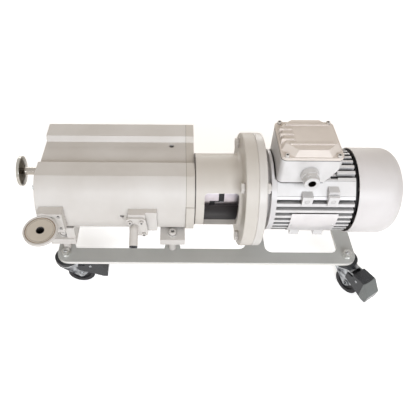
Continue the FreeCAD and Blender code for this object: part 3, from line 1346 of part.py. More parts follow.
shaft_tip = lantern_right - d.shaft_out
fan_left = rear_right + d.fan_gap
fan_right = fan_left + d.fan_width
finish("motor_shaft", turned("motor_shaft_body", [
    (shaft_tip, 0.0), (shaft_tip, d.coupling_seat), (bearing_front, d.coupling_seat),
    (bearing_front, d.motor_bearing_seat), (bearing_front_end, d.motor_bearing_seat),
    (bearing_front_end, d.core_seat), (bearing_rear, d.core_seat),
    (bearing_rear, d.motor_bearing_seat), (rear_right, d.motor_bearing_seat),
    (rear_right, d.fan_bore), (fan_right, d.fan_bore), (fan_right, 0.0)]))
finish("motor_bearings", gather([
    bearing(left, d.motor_bearing_width, d.motor_bearing_seat + d.running, d.motor_bearing_radius)
    for left in (bearing_front, bearing_rear)]))

# laminations, winding heads and squirrel cage
core_left = (rim_right + frame_end - d.core_length) / 2
core_right = core_left + d.core_length
end_ring_out = d.rotor_radius - d.end_ring_in
winding_inner = d.rotor_radius + d.winding_gap
winding_outer = register_in - d.side_gap
finish("stator", gather([fuse([
    ring(core_left, core_right, d.rotor_radius + d.air_gap, d.stator_radius - d.fit),
    ring(core_left - d.winding_length, core_left, winding_inner, winding_outer),
    ring(core_right, core_right + d.winding_length, winding_inner, winding_outer)])]))
finish("rotor_core", gather([fuse([
    ring(core_left, core_right, d.core_seat + d.fit, d.rotor_radius),
    ring(core_left - d.end_ring, core_left, d.end_ring_bore, end_ring_out),
    ring(core_right, core_right + d.end_ring, d.end_ring_bore, end_ring_out)])]))

# finned motor frame
fins = [rod("x", d.frame_core, d.frame_length, rim_right, 0.0, 0.0)]
fin_half = d.fin_thickness / 2
reach = d.frame_radius
for index in range(int(d.fin_count)):
    offset = d.fin_pitch * (index - (d.fin_count - 1) / 2) - fin_half
    fins.append(block(rim_right, -reach, offset, d.frame_length, reach * 2, d.fin_thickness))
    fins.append(block(rim_right, offset, -reach, d.frame_length, d.fin_thickness, reach * 2))
finned = common(fuse(fins), rod("x", d.frame_radius, d.frame_length, rim_right, 0.0, 0.0))
solids = [finned]
for angle in (45.0, -45.0):
    rib = block(0.0, -d.rib_half_width, -d.rib_radius, d.frame_length, d.rib_half_width * 2,
                d.rib_radius * 2)
    swung = gather([rib])
    swung.Placement = FreeCAD.Placement(
        FreeCAD.Vector(rim_right, 0, 0), FreeCAD.Rotation(FreeCAD.Vector(1, 0, 0), angle))
    bind(swung, "Placement.Base.x", rim_right)
    solids.append(swung)
pad_spots = [frame_end - d.pad_centre + d.pad_pitch / 2 * side - d.pad_side / 2 for side in (-1, 1)]
for x in pad_spots:
    for y in (-d.pad_out, d.pad_out - d.pad_depth):
        solids.append(block(x, y, d.pad_low, d.pad_side, d.pad_depth, d.pad_high))
    for y in (-d.pad_low - d.pad_high, d.pad_low):
        solids.append(block(x, y, -d.pad_out, d.pad_side, d.pad_high, d.pad_depth))
solids.append(block(pad_spots[1], -d.pad_out + d.pad_step, d.pad_low + d.pad_high, d.pad_side,
                    d.pad_depth - d.pad_step, d.pad_step))
seat_half = d.box_length / 2 - d.seat_inset
seat_wide = d.box_width / 2 - d.seat_inset
seat_bottom = d.stator_radius - d.seat_sunk
solids.append(block(d.box_centre - seat_half, -seat_wide, seat_bottom, seat_half * 2, seat_wide * 2,
                    d.box_seat - seat_bottom))
frame_tools = [rod("x", d.stator_radius, d.frame_length, rim_right, 0.0, 0.0),
               block(d.box_centre - d.box_length / 2 - d.box_room, -d.box_width / 2 - d.box_room,
                     d.box_seat, d.box_length + d.box_room * 2, d.box_width + d.box_room * 2,
                     d.frame_radius - d.box_seat),
               rod("z", d.cable_hole, d.box_seat, d.box_centre, 0.0, 0.0)]
for x in pad_spots:
    for y in (-d.pad_out, d.pad_out - d.pad_hole_depth):
        frame_tools.append(rod("y", d.pad_hole, d.pad_hole_depth, x + d.pad_side / 2, y,
                               d.pad_low + d.pad_high / 2))
    for y in (-d.pad_low - d.pad_high / 2, d.pad_low + d.pad_high / 2):
        frame_tools.append(rod("z", d.pad_hole, d.pad_hole_depth, x + d.pad_side / 2, y, -d.pad_out))
frame_tools += [rod("x", hole, d.screw_depth, rim_right, y, z) for y, z in shield_spots]
frame_tools += [rod("x", rear_hole, d.small_depth, frame_end - d.small_depth, y, z)
                for y, z in rear_spots]
finish("motor_frame", cut(fuse(solids), frame_tools))

# fan and cowl
disc_left = fan_right - d.fan_disc_back - d.blade_thickness
blades = []
for index in range(4):
    blade = block(fan_left, -d.fan_radius, -d.blade_thickness / 2, disc_left - fan_left,
                  d.fan_radius * 2, d.blade_thickness)
    swung = gather([blade])
    swung.Placement = FreeCAD.Placement(
        FreeCAD.Vector(), FreeCAD.Rotation(FreeCAD.Vector(1, 0, 0), 45.0 * index))
    blades.append(swung)
fan_disc = rod("x", d.fan_disc_radius, d.blade_thickness, disc_left, 0.0, 0.0)
fan_hub = rod("x", d.fan_hub_radius, d.fan_width - d.fan_disc_back, fan_left, 0.0, 0.0)
finish("cooling_fan", cut(fuse(blades + [fan_disc, fan_hub]),
                          [rod("x", d.fan_bore + d.fit, d.fan_width, fan_left, 0.0, 0.0)]))
cowl_round = d.cowl_corner - d.cowl_wall
cowl = turned("cowl_body", [
    (cowl_left, cowl_inner), (cowl_left, d.cowl_radius), (cowl_right - d.cowl_corner, d.cowl_radius),
    (cowl_right, d.cowl_radius - d.cowl_corner, d.cowl_corner, -1), (cowl_right, 0.0),
    (cowl_right - d.cowl_wall, 0.0), (cowl_right - d.cowl_wall, cowl_inner - cowl_round),
    (cowl_right - d.cowl_corner, cowl_inner, cowl_round, 1)])
grille = []
for radius, count in ((d.grille_inner, 8), (d.grille_outer, 16)):
    grille += [rod("x", d.grille_hole, d.cowl_wall, cowl_right - d.cowl_wall, y, z)
               for y, z in spread(radius, [360.0 / count * index for index in range(count)])]
finish("fan_cowl", cut(cowl, grille))

# terminal box


def box_prism(label, inset, bottom, top, corner):
    """Upright block with round corners, centred on the terminal box."""
    body = new_body(label)
    sketch = new_sketch(body, "XY_Plane", bottom)
    rounded(sketch, d.box_centre - d.box_length / 2 + inset, -d.box_width / 2 + inset,
            d.box_centre + d.box_length / 2 - inset, d.box_width / 2 - inset, corner)
    pad(body, sketch, top - bottom)
    return body


def box_shape(label, inset, bottom, top):
    """The box with the slope cut from its fan side."""
    body = box_prism(label, inset, bottom, top, d.inner_corner if inset else d.box_corner)
    sketch = new_sketch(body, "XZ_Plane")
    right = d.box_centre + d.box_length / 2 - inset
    slope_top = d.box_top - d.box_slope_from + inset
    outline(sketch, [(right - d.box_cut, bottom), (right, bottom), (right, slope_top)])
    pocket(body, sketch, d.box_width * 2, both=True)
    return body


screw_half_x = d.box_length / 2 - d.lid_screw_in_x
screw_half_y = d.box_width / 2 - d.lid_screw_in_y
lid_screws = [(d.box_centre + screw_half_x * x, screw_half_y * y) for x in (-1, 1) for y in (-1, 1)]
gland_x = d.box_centre - d.gland_shift
box_outer = box_shape("box_outer", 0.0, d.box_seat, d.box_top)
box_inner = box_shape("box_inner", d.box_wall, d.box_seat + d.box_wall, d.box_top)
cavity = cut(box_inner, [rod("z", d.lid_boss, d.box_top, x, y, 0.0) for x, y in lid_screws])
box_tools = [cavity, rod("z", d.cable_hole, d.box_wall, d.box_centre, 0.0, d.box_seat),
             rod("y", d.gland_thread + d.running, d.box_wall, gland_x, -d.box_width / 2,
                 d.gland_height)]
box_tools += [rod("z", rear_hole, d.small_depth, x, y, d.box_top - d.small_depth)
              for x, y in lid_screws]
finish("terminal_box", cut(box_outer, box_tools))
gasket_top = d.box_top + d.gasket_thickness
gasket = box_prism("gasket_outer", 0.0, d.box_top, gasket_top, d.box_corner)
gasket_inner = cut(box_prism("gasket_inner", d.box_wall, d.box_top, gasket_top, d.inner_corner),
                   [rod("z", d.lid_boss, gasket_top, x, y, 0.0) for x, y in lid_screws])
finish("box_gasket", cut(gasket, [gasket_inner] + [
    rod("z", rear_hole, d.gasket_thickness, x, y, d.box_top) for x, y in lid_screws]))

# lid with a raised panel, two long ridges and three short ribs
lid_top = gasket_top + d.lid_thickness
panel_top = lid_top + d.lid_rise


def panel_sketch(body, height, inset):
    """Rectangle with cut corners, centred on the terminal box."""
    sketch = new_sketch(body, "XY_Plane", height)
    half_x = d.box_length / 2 - inset
    half_y = d.box_width / 2 - inset
    left, right = d.box_centre - half_x, d.box_centre + half_x
    short_x = half_x - d.panel_cut
    short_y = half_y - d.panel_cut
    outline(sketch, [
        (d.box_centre + short_x, -half_y), (right, -short_y), (right, short_y),
        (d.box_centre + short_x, half_y), (d.box_centre - short_x, half_y), (left, short_y),
        (left, -short_y), (d.box_centre - short_x, -half_y)])
    return sketch


def panel_shape(label, bottom, top, inset, slope):
    """Block with cut corners and sloping sides."""
    body = new_body(label)
    made = body.newObject("PartDesign::AdditiveLoft", label + "_loft")
    made.Profile = panel_sketch(body, bottom, inset)
    made.Sections = [panel_sketch(body, top, inset + slope)]
    made.Ruled = True
    return body


lid_flange = box_prism("lid_flange", 0.0, gasket_top, lid_top, d.box_corner)
panel = panel_shape("lid_panel", lid_top, panel_top, d.panel_inset, d.panel_slope)
ridges = [block(d.box_centre - d.ridge_length / 2, y - d.ridge_width / 2, panel_top - d.ridge_height,
                d.ridge_length, d.ridge_width, d.ridge_height * 2)
          for y in (-d.ridge_out, d.ridge_out)]
ridges += [block(d.box_centre - d.box_length / 2 + d.panel_inset, d.rib_step * index - d.rib_width / 2,
                 lid_top, d.rib_length, d.rib_width, d.lid_rise + d.ridge_height)
           for index in (-1, 0, 1)]
hollow_inset = d.panel_inset + d.box_wall
lid_tools = [
    panel_shape("lid_mouth", gasket_top, lid_top, hollow_inset, 0.0),
    panel_shape("lid_hollow", lid_top, panel_top - d.box_wall, hollow_inset, d.panel_slope)]
lid_tools += [rod("z", rear_hole, d.lid_thickness, x, y, gasket_top) for x, y in lid_screws]
finish("terminal_lid", cut(fuse([lid_flange, panel] + ridges), lid_tools))
lid_screw_set = [cap_screw("z", d.small_head, d.small_shank,
                           d.lid_thickness + d.gasket_thickness + d.small_depth - d.screw_gap,
                           x, y, lid_top, -1)
                 for x, y in lid_screws]
finish("motor_screws", gather(front_screws + rear_screws + lid_screw_set))

box_front = -d.box_width / 2
gland_front = box_front - d.gland_length
gland_rear = d.box_wall + d.gland_inside
gland = fuse([
    rod("y", d.gland_radius, d.gland_collar, gland_x, box_front - d.gland_collar, d.gland_height),
    hexagon("y", d.gland_across, d.gland_hex, gland_x, box_front - d.gland_collar - d.gland_hex,
            d.gland_height),
    rod("y", d.gland_nose, d.gland_length, gland_x, gland_front, d.gland_height),
    rod("y", d.gland_thread, gland_rear, gland_x, box_front, d.gland_height)])
finish("cable_gland", cut(gland, [rod("y", d.gland_bore, d.gland_length + gland_rear, gland_x,
                                      gland_front, d.gland_height)]))

board_bottom = d.box_seat + d.box_wall
board_x = d.box_centre - d.board_length / 2
board = [block(board_x, -d.board_width / 2 + d.board_back, board_bottom, d.board_length,
               d.board_width, d.board_height)]
for row in (-1, 1):
    for column in (-1, 0, 1):
        board.append(rod("z", d.stud_thick, d.stud_height, d.box_centre + column * d.board_length / 3,
                         d.board_back + row * d.board_width / 4, board_bottom))
finish("terminal_board", fuse(board))

# bare nameplate, curved over the fins
plate_left = rim_right + d.nameplate_from_frame
plate_end = plate_left + d.nameplate_length
sheet_outer = d.nameplate_radius + d.nameplate_gauge
name_shape = sector(d.nameplate_start, d.nameplate_span, d.nameplate_radius, sheet_outer,
                    plate_left, plate_end)
finish("nameplate", gather([name_shape]))

# plate frame
base = new_body("frame_body")
base_sketch = new_sketch(base, "XY_Plane", -d.frame_drop - d.frame_thickness)
frame_rear = d.centre_distance + d.frame_front
rounded(base_sketch, -d.frame_left, -d.frame_front, d.frame_right, frame_rear, d.frame_corner)
bar_front = -d.frame_front + d.front_bar
bar_rear = frame_rear - d.front_bar
rounded(base_sketch, d.left_bar - d.frame_left, bar_front, d.cross_left, bar_rear, d.opening_corner)
rounded(base_sketch, d.cross_left + d.cross_width, d.motor_bar - d.frame_front,
        d.frame_right - d.right_bar, frame_rear - d.motor_bar, d.opening_corner)
pad(base, base_sketch, d.frame_thickness)
ears = [rod("z", d.ear_radius, d.frame_thickness, x, y, -d.frame_drop - d.frame_thickness)
        for x, y in mounts]
studs = [(x, y) for x in (d.stud_in_x - d.frame_left, d.frame_right - d.stud_in_x)
         for y in (d.stud_in_y - d.frame_front, frame_rear - d.stud_in_y)]
frame_under = -d.frame_drop - d.frame_thickness
base_tools = [rod("z", foot_hole, d.frame_thickness, x, y, frame_under) for x, y in mounts]
base_tools += [rod("z", d.stud_radius + d.running, d.frame_thickness, x, y, frame_under)
               for x, y in studs]
finish("base_frame", cut(fuse([base] + ears), base_tools))

# caster heads: cup, stud, nut and retaining collar
caster_top = frame_under
plate_under = -d.cup_height - d.head_gap
collar_top = plate_under - d.fork_gauge - d.head_gap
stud_set = []
for x, y in studs:
    whole = [rod("z", d.cup_radius, d.cup_height, x, y, caster_top - d.cup_height),
             rod("z", d.stud_radius, d.frame_thickness + d.nut_height + d.collar_height - collar_top, x, y,
                 caster_top + collar_top - d.collar_height),
             rod("z", d.stud_radius + d.collar_height, d.collar_height, x, y,
                 caster_top + collar_top - d.collar_height),
             rod("z", d.washer_radius, d.washer_gauge, x, y, -d.frame_drop),
             hexagon("z", d.stud_nut, d.nut_height - d.washer_gauge, x, y,
                     d.washer_gauge - d.frame_drop)]
    stud_set.append(fuse(whole))
finish("caster_studs", gather(stud_set))

# one fork, wheel and pedal at each stud
axle_x, axle_z = d.trail, d.wheel_radius - d.caster_height
pin_x, pin_z = d.pin_out, -d.pin_drop
cheek_radius = d.cheek_lobe
sheet_top = plate_under
cheek_points = [(-d.cheek_back, sheet_top - cheek_radius), (axle_x, axle_z), (pin_x, pin_z)]
half_inside = d.fork_inside / 2


def side_plate(name, y):
    body = new_body(name)
    sketch = new_sketch(body, "XZ_Plane", y)
    outline(sketch, hull(cheek_points, cheek_radius))
    pad(body, sketch, d.fork_gauge)
    return body


def caster(prefix, x, y, turn):
    """Fork, wheel and pedal, built with the stud at the origin and the trail along +X."""
    cheeks = [side_plate(prefix + "_cheek_near", half_inside),
              side_plate(prefix + "_cheek_far", -half_inside - d.fork_gauge)]
    top = new_body(prefix + "_top")
    top_sketch = new_sketch(top, "XY_Plane", sheet_top - d.fork_gauge)
    outline(top_sketch, [
        (0.0, d.fork_disc), (-d.fork_disc, 0.0, d.fork_disc, 1), (0.0, -d.fork_disc, d.fork_disc, 1),
        (d.fork_nose, -half_inside), (d.fork_nose, half_inside)])
    pad(top, top_sketch, d.fork_gauge)
    pins = [rod("y", d.axle_radius, d.fork_inside + d.fork_gauge * 4, axle_x,
                -half_inside - d.fork_gauge * 2, axle_z),
            rod("y", d.pedal_pin, d.pedal_width, pin_x, -d.pedal_width / 2, pin_z)]
    fork = cut(fuse(cheeks + [top] + pins),
               [rod("z", d.stud_radius + d.running, d.fork_gauge, 0.0, 0.0,
                    sheet_top - d.fork_gauge)])
    finish(prefix + "_fork", fork, x, y, caster_top, turn)

    wheel = new_body(prefix + "_wheel_body")
    wheel_sketch = new_sketch(wheel, "XZ_Plane", -d.wheel_width / 2)
    circle(wheel_sketch, d.wheel_radius, axle_x, axle_z)
    circle(wheel_sketch, d.axle_radius + d.running, axle_x, axle_z)
    pad(wheel, wheel_sketch, d.wheel_width)
    tools = [cut(rod("y", d.dish_radius, d.wheel_dish, axle_x, y_start, axle_z),
                 [rod("y", d.axle_radius * 2, d.wheel_dish, axle_x, y_start, axle_z)])
             for y_start in (-d.wheel_width / 2, d.wheel_width / 2 - d.wheel_dish)]
    finish(prefix + "_wheel", cut(wheel, tools), x, y, caster_top, turn)

    hood = new_body(prefix + "_hood")
    hood_sketch = new_sketch(hood, "XZ_Plane")
    gauge = d.pedal_gauge
    high = pin_z + d.pedal_over
    toe = axle_z - d.toe_drop
    brow = d.pedal_tip - d.brow_back
    nose = pin_z - d.nose_drop
    outline(hood_sketch, [
        (d.pedal_start, high), (d.pedal_start, d.skirt_top), (d.skirt_start, d.skirt_top),
        (d.skirt_start, d.skirt_low), (pin_x, d.skirt_deep), (d.pedal_tip - d.toe_length, toe),
        (d.pedal_tip - gauge, toe), (d.pedal_tip, nose), (brow, high)])
    hood_pad = pad(hood, hood_sketch, d.pedal_width)
    hood_pad.Midplane = True
    room_sketch = new_sketch(hood, "XZ_Plane")
    under = high - gauge
    below = toe - gauge
    outline(room_sketch, [
        (d.skirt_start - gauge, under), (d.skirt_start - gauge, below),
        (d.pedal_tip - gauge * 2, below), (d.pedal_tip - gauge, nose - gauge), (brow - gauge, under)])
    pocket(hood, room_sketch, d.pedal_width - gauge * 2, both=True)
    eyes = [rod("y", d.pedal_pin + d.running, d.pedal_width, pin_x, -d.pedal_width / 2, pin_z)]
    finish(prefix + "_pedal", cut(hood, eyes), x, y, caster_top, turn)


corners = ("front_left", "rear_left", "front_right", "rear_right")
for corner, (x, y) in zip(corners, studs):
    caster(corner, x, y, getattr(d, "swivel_" + corner))

# checks and export
doc.recompute()
for thing in doc.Objects:
    if "Invalid" in thing.State or "Error" in thing.State:
        raise RuntimeError("%s: %s" % (thing.Label, thing.State))
for name, thing in nodes.items():
    shape = thing.Shape
    if shape.isNull() or not shape.isValid() or not shape.Solids:
        raise RuntimeError("%s has no valid solid" % name)
os.makedirs("parts", exist_ok=True)
for name, thing in nodes.items():
    thing.Shape.exportStep(os.path.join("parts", name + ".step"))
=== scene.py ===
import bpy
import json
import math
from mathutils import Matrix, Vector


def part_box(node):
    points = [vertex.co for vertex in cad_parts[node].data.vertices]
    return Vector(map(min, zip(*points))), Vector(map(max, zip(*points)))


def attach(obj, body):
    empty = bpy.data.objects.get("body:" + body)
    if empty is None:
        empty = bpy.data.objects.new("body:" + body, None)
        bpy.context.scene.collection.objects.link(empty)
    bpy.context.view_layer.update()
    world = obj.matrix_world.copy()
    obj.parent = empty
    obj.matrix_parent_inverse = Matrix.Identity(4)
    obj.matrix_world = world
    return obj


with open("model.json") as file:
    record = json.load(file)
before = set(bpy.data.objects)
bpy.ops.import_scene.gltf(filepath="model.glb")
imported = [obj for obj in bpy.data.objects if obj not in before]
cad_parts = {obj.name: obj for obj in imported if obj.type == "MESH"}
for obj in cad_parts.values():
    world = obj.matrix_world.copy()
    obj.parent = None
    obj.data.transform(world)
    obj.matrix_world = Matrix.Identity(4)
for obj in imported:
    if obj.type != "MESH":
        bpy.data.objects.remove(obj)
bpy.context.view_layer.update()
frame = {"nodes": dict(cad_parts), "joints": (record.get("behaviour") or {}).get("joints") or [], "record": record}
nodes = frame["nodes"]
joints = {joint["name"]: joint for joint in frame["joints"]}
mounts = {mount["name"]: mount for mount in frame["record"]["mounts"]}
perMetre = 1000  # pieces and patterns are given in millimetres, Blender works in metres
print("frame loaded:", len(nodes), "nodes")


def lowOf(node):
    return Vector(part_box(node)[0]) * perMetre


def highOf(node):
    return Vector(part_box(node)[1]) * perMetre


def middleOf(node):
    return (lowOf(node) + highOf(node)) / 2


def spotOf(jointOrMount):
    return Vector(jointOrMount["pos_m"]) * perMetre


def newObject(name, data):
    thing = bpy.data.objects.new(name, data)
    bpy.context.scene.collection.objects.link(thing)
    return thing


# camera, as the photograph was taken: angles in degrees, spot and near in metres
camera = {"lens": 40.637, "sensor": 36, "shiftX": 0.08105, "shiftY": 0.00286, "near": 0.01,
          "pitch": 46.53, "roll": 0.4, "spot": (-0.04735, -0.623054, 0.7696)}
cameraData = bpy.data.cameras.new("photoCamera")
cameraData.lens = camera["lens"]
cameraData.sensor_width = camera["sensor"]
cameraData.shift_x = camera["shiftX"]
cameraData.shift_y = camera["shiftY"]
cameraData.clip_start = camera["near"]
cameraObject = newObject("photoCamera", cameraData)
tilt = Matrix.Rotation(math.radians(90 - camera["pitch"]), 4, "X")
roll = Matrix.Rotation(math.radians(camera["roll"]), 4, "Z")
cameraObject.matrix_world = Matrix.Translation(camera["spot"]) @ tilt @ roll
bpy.context.scene.camera = cameraObject
bpy.context.scene.view_settings.view_transform = "Standard"
print("camera set")


def hexColour(text):
    # sRGB to linear, by the curve of the sRGB standard
    channels = [int(text[start:start + 2], 16) / 255 for start in (0, 2, 4)]
    return [c / 12.92 if c <= 0.04045 else ((c + 0.055) / 1.055) ** 2.4 for c in channels] + [1.0]


def startTree(owner):
    owner.use_nodes = True
    owner.node_tree.nodes.clear()
    return owner.node_tree


def addNode(tree, kind, settings=None, links=None):
    node = tree.nodes.new(kind)
    for name, value in (settings or {}).items():
        if isinstance(name, str) and hasattr(node, name):
            setattr(node, name, value)
        else:
            node.inputs[name].default_value = value
    for name, socket in (links or {}).items():
        tree.links.new(socket, node.inputs[name])
    return node


# sockets of the Mix node, which share their names: two numbers, two colours, the mixed colour
numberA, numberB, colourA, colourB, colourOut = 2, 3, 6, 7, 2


def mixed(tree, share, first, second):
    # each of the two is a hex colour or a socket
    node = addNode(tree, "ShaderNodeMix", {"data_type": "RGBA"}, {0: share})
    for place, value in ((colourA, first), (colourB, second)):
        if isinstance(value, str):
            node.inputs[place].default_value = hexColour(value)
        else:
            tree.links.new(value, node.inputs[place])
    return node.outputs[colourOut]


# studio: pale floor and room, a wide softbox in front, a weak warm one above, one behind
studio = {"corners": [(-6, -4, 0), (6, -4, 0), (6, 8, 0), (-6, 8, 0)], "floor": "FFFFFF",
          "floorGlow": 0.55, "room": 0.30, "dusk": "FFF3E2", "white": "FFFFFF",
          "aim": (0, 0, 0.15)}
softboxes = {
    "frontSoftbox": {"spot": (0.25, -2.2, 1.35), "size": (2.2, 1.0), "power": 53.0,
                     "colour": "F2F7FF"},
    "topSoftbox": {"spot": (0.1, 0.7, 2.2), "size": (1.6, 1.2), "power": 3.4,
                   "colour": "FFE2C2"},
    "rearSoftbox": {"spot": (0.0, 2.6, 0.8), "size": (2.4, 1.0), "power": 26.0,
                    "colour": "FFFFFF"}}
floorMesh = bpy.data.meshes.new("studioFloor")
floorMesh.from_pydata(studio["corners"], [], [(0, 1, 2, 3)])
floorObject = newObject("studioFloor", floorMesh)


def seenDirectly(tree):
    # 1 for what the camera sees straight, in a mirror or through glass
    path = addNode(tree, "ShaderNodeLightPath")
    mirrored = addNode(tree, "ShaderNodeMath", {"operation": "MAXIMUM"},
                       {0: path.outputs["Is Camera Ray"], 1: path.outputs["Is Glossy Ray"]})
    through = addNode(tree, "ShaderNodeMath", {"operation": "MAXIMUM"},
                      {0: mirrored.outputs[0], 1: path.outputs["Is Transmission Ray"]})
    return through.outputs[0]


floorPaper = bpy.data.materials.new("matteFloorPaper")
paperTree = startTree(floorPaper)
paperBody = addNode(paperTree, "ShaderNodeBsdfDiffuse", {"Color": hexColour(studio["floor"])})
paperLevel = addNode(paperTree, "ShaderNodeMath", {"operation": "MULTIPLY", 1: studio["floorGlow"]},
                     {0: seenDirectly(paperTree)})
paperGlow = addNode(paperTree, "ShaderNodeEmission", None, {"Strength": paperLevel.outputs[0]})
paperSum = addNode(paperTree, "ShaderNodeAddShader", None,
                   {0: paperBody.outputs[0], 1: paperGlow.outputs[0]})
addNode(paperTree, "ShaderNodeOutputMaterial", None, {"Surface": paperSum.outputs[0]})
floorMesh.materials.append(floorPaper)

room = bpy.data.worlds.new("studioRoom")
bpy.context.scene.world = room
roomTree = startTree(room)
roomSeen = seenDirectly(roomTree)
roomLevel = addNode(roomTree, "ShaderNodeMapRange", {"To Min": studio["room"], "To Max": 1.0},
                    {"Value": roomSeen})
roomGlow = addNode(roomTree, "ShaderNodeBackground", None,
                   {"Color": mixed(roomTree, roomSeen, studio["dusk"], studio["white"]),
                    "Strength": roomLevel.outputs[0]})
addNode(roomTree, "ShaderNodeOutputWorld", None, {"Surface": roomGlow.outputs[0]})

for name, box in softboxes.items():
    light = bpy.data.lights.new(name, "AREA")
    light.shape = "RECTANGLE"
    light.size, light.size_y = box["size"]
    light.energy = box["power"]
    light.color = hexColour(box["colour"])[:3]
    facing = (Vector(studio["aim"]) - Vector(box["spot"])).to_track_quat("-Z", "Y")
    lamp = newObject(name, light)
    lamp.matrix_world = Matrix.Translation(box["spot"]) @ facing.to_matrix().to_4x4()
print("studio lit")


# materials: every pattern comes from Object coordinates, with its sizes in millimetres
tones = {"detail": 3.0, "dark": 0.3, "light": 0.7}  # noise levels of the two tones of a mottle
grainDetail = 2.0
edgeTurn = {"flat": 0.985, "sharp": 0.85}  # cosine between the rounded and the true normal
shadeSamples = {"edge": 4, "hollow": 6}


def startMaterial(name):
    material = bpy.data.materials.new(name)
    tree = startTree(material)
    return material, tree, addNode(tree, "ShaderNodeTexCoord").outputs["Object"]


def patternScale(size):
    return perMetre / size


def mottle(tree, coords, look):
    noise = addNode(tree, "ShaderNodeTexNoise",
                    {"Scale": patternScale(look["patch"]), "Detail": tones["detail"]},
                    {"Vector": coords})
    ramp = addNode(tree, "ShaderNodeValToRGB", None, {"Fac": noise.outputs["Fac"]})
    darkStop, lightStop = ramp.color_ramp.elements
    darkStop.position, darkStop.color = tones["dark"], hexColour(look["dark"])
    lightStop.position, lightStop.color = tones["light"], hexColour(look["light"])
    return ramp.outputs["Color"]


def zoneShare(tree, coords, zone):
    # from none to full by the distance to the centre; keep picks the directions that count,
    # so (0, 1, 1) measures from a line along x
    centre = [value / perMetre for value in zone["centre"]]
    moved = addNode(tree, "ShaderNodeVectorMath", {"operation": "SUBTRACT", 1: centre}, {0: coords})
    kept = addNode(tree, "ShaderNodeVectorMath", {"operation": "MULTIPLY", 1: zone["keep"]},
                   {0: moved.outputs[0]})
    away = addNode(tree, "ShaderNodeVectorMath", {"operation": "LENGTH"}, {0: kept.outputs[0]})
    share = addNode(tree, "ShaderNodeMapRange",
                    {"From Min": zone["none"] / perMetre, "From Max": zone["full"] / perMetre},
                    {"Value": away.outputs["Value"]})
    return share.outputs[0]


def zoned(tree, coords, look, colour, rough):
    # a zone has a colour of its own, and bareRough where it is bare metal
    links = {"Base Color": colour, "Roughness": rough}
    for zone in look["zones"]:
        share = zoneShare(tree, coords, zone)
        links["Base Color"] = mixed(tree, share, links["Base Color"], zone["colour"])
        if "bareRough" in zone:
            links["Metallic"] = share
            blend = addNode(tree, "ShaderNodeMix", {numberB: zone["bareRough"]},
                            {0: share, numberA: links["Roughness"]})
            links["Roughness"] = blend.outputs[0]
    return links


def highlightedEdges(tree, colour, look, rounded):
    # a painted highlight: the colour turns paler where an edge turns
    flat = addNode(tree, "ShaderNodeNewGeometry")
    same = addNode(tree, "ShaderNodeVectorMath", {"operation": "DOT_PRODUCT"},
                   {0: rounded, 1: flat.outputs["True Normal"]})
    share = addNode(tree, "ShaderNodeMapRange",
                    {"From Min": edgeTurn["flat"], "From Max": edgeTurn["sharp"],
                     "To Max": look["edgeHighlight"]},
                    {"Value": same.outputs["Value"]})
    return mixed(tree, share.outputs[0], colour, look["edgeHighlightColour"])


def shadedHollows(tree, coords, colour, look):
    # painted shade in gaps, sockets and corners, darker where they are occluded; outside its zone only a share of
    # it
    hollow = addNode(tree, "ShaderNodeAmbientOcclusion",
                     {"samples": shadeSamples["hollow"], "Distance": look["reach"] / perMetre})
    share = addNode(tree, "ShaderNodeMapRange",
                    {"From Min": look["shut"], "From Max": look["open"],
                     "To Min": look["hollowShade"], "To Max": 0.0},
                    {"Value": hollow.outputs["AO"]})
    if "hollowShadeZone" in look:
        weight = addNode(tree, "ShaderNodeMapRange",
                         {"To Min": look["hollowShadeZone"]["least"], "To Max": 1.0},
                         {"Value": zoneShare(tree, coords, look["hollowShadeZone"])})
        share = addNode(tree, "ShaderNodeMath", {"operation": "MULTIPLY"},
                        {0: share.outputs[0], 1: weight.outputs[0]})
    return mixed(tree, share.outputs[0], colour, look["hollowShadeColour"])


def finishedSurface(tree, coords, look, height):
    # what all finishes share: relief, gloss that follows it, zones, painted highlights on edges, painted shade in
    # hollows
    rounded = addNode(tree, "ShaderNodeBevel",
                      {"samples": shadeSamples["edge"], "Radius": look["edge"] / perMetre})
    bump = addNode(tree, "ShaderNodeBump",
                   {"Strength": look["bump"], "Distance": look["relief"] / perMetre},
                   {"Height": height, "Normal": rounded.outputs[0]})
    rough = addNode(tree, "ShaderNodeMapRange",
                    {"To Min": look["rough"] - look["glossier"],
                     "To Max": look["rough"] + look["duller"]},
                    {"Value": height})
    links = zoned(tree, coords, look, mottle(tree, coords, look), rough.outputs[0])
    highlighted = highlightedEdges(tree, links["Base Color"], look, rounded.outputs[0])
    links["Base Color"] = shadedHollows(tree, coords, highlighted, look)
    links["Normal"] = bump.outputs[0]
    return links


def closeMaterial(tree, settings, links):
    shader = addNode(tree, "ShaderNodeBsdfPrincipled", settings, links)
    addNode(tree, "ShaderNodeOutputMaterial", None, {"Surface": shader.outputs[0]})


paintDefaults = {"edge": 0.8, "edgeHighlight": 0.5, "edgeHighlightColour": "F2F0EC", "reach": 14.0, "shut": 0.12,
                 "open": 0.5, "hollowShade": 0.92, "hollowShadeColour": "1E1B1A", "relief": 0.3,
                 "glossier": 0.05, "duller": 0.05, "metal": 0.0, "coat": 0.0, "coatRough": 0.15,
                 "ior": 1.5, "zones": []}


def sprayedPaint(name, choices):
    look = {**paintDefaults, **choices}
    material, tree, coords = startMaterial(name)
    peel = addNode(tree, "ShaderNodeTexNoise",
                   {"Scale": patternScale(look["peel"]), "Detail": grainDetail}, {"Vector": coords})
    closeMaterial(tree, {"Metallic": look["metal"], "IOR": look["ior"],
                         "Coat Weight": look["coat"], "Coat Roughness": look["coatRough"]},
                  finishedSurface(tree, coords, look, peel.outputs["Fac"]))
    return material


metalDefaults = {"edge": 0.4, "edgeHighlight": 0.6, "edgeHighlightColour": "F4F4F2", "reach": 8.0, "shut": 0.1,
                 "open": 0.5, "hollowShade": 0.85, "hollowShadeColour": "16151A", "relief": 0.2,
                 "glossier": 0.05, "duller": 0.08, "zones": []}


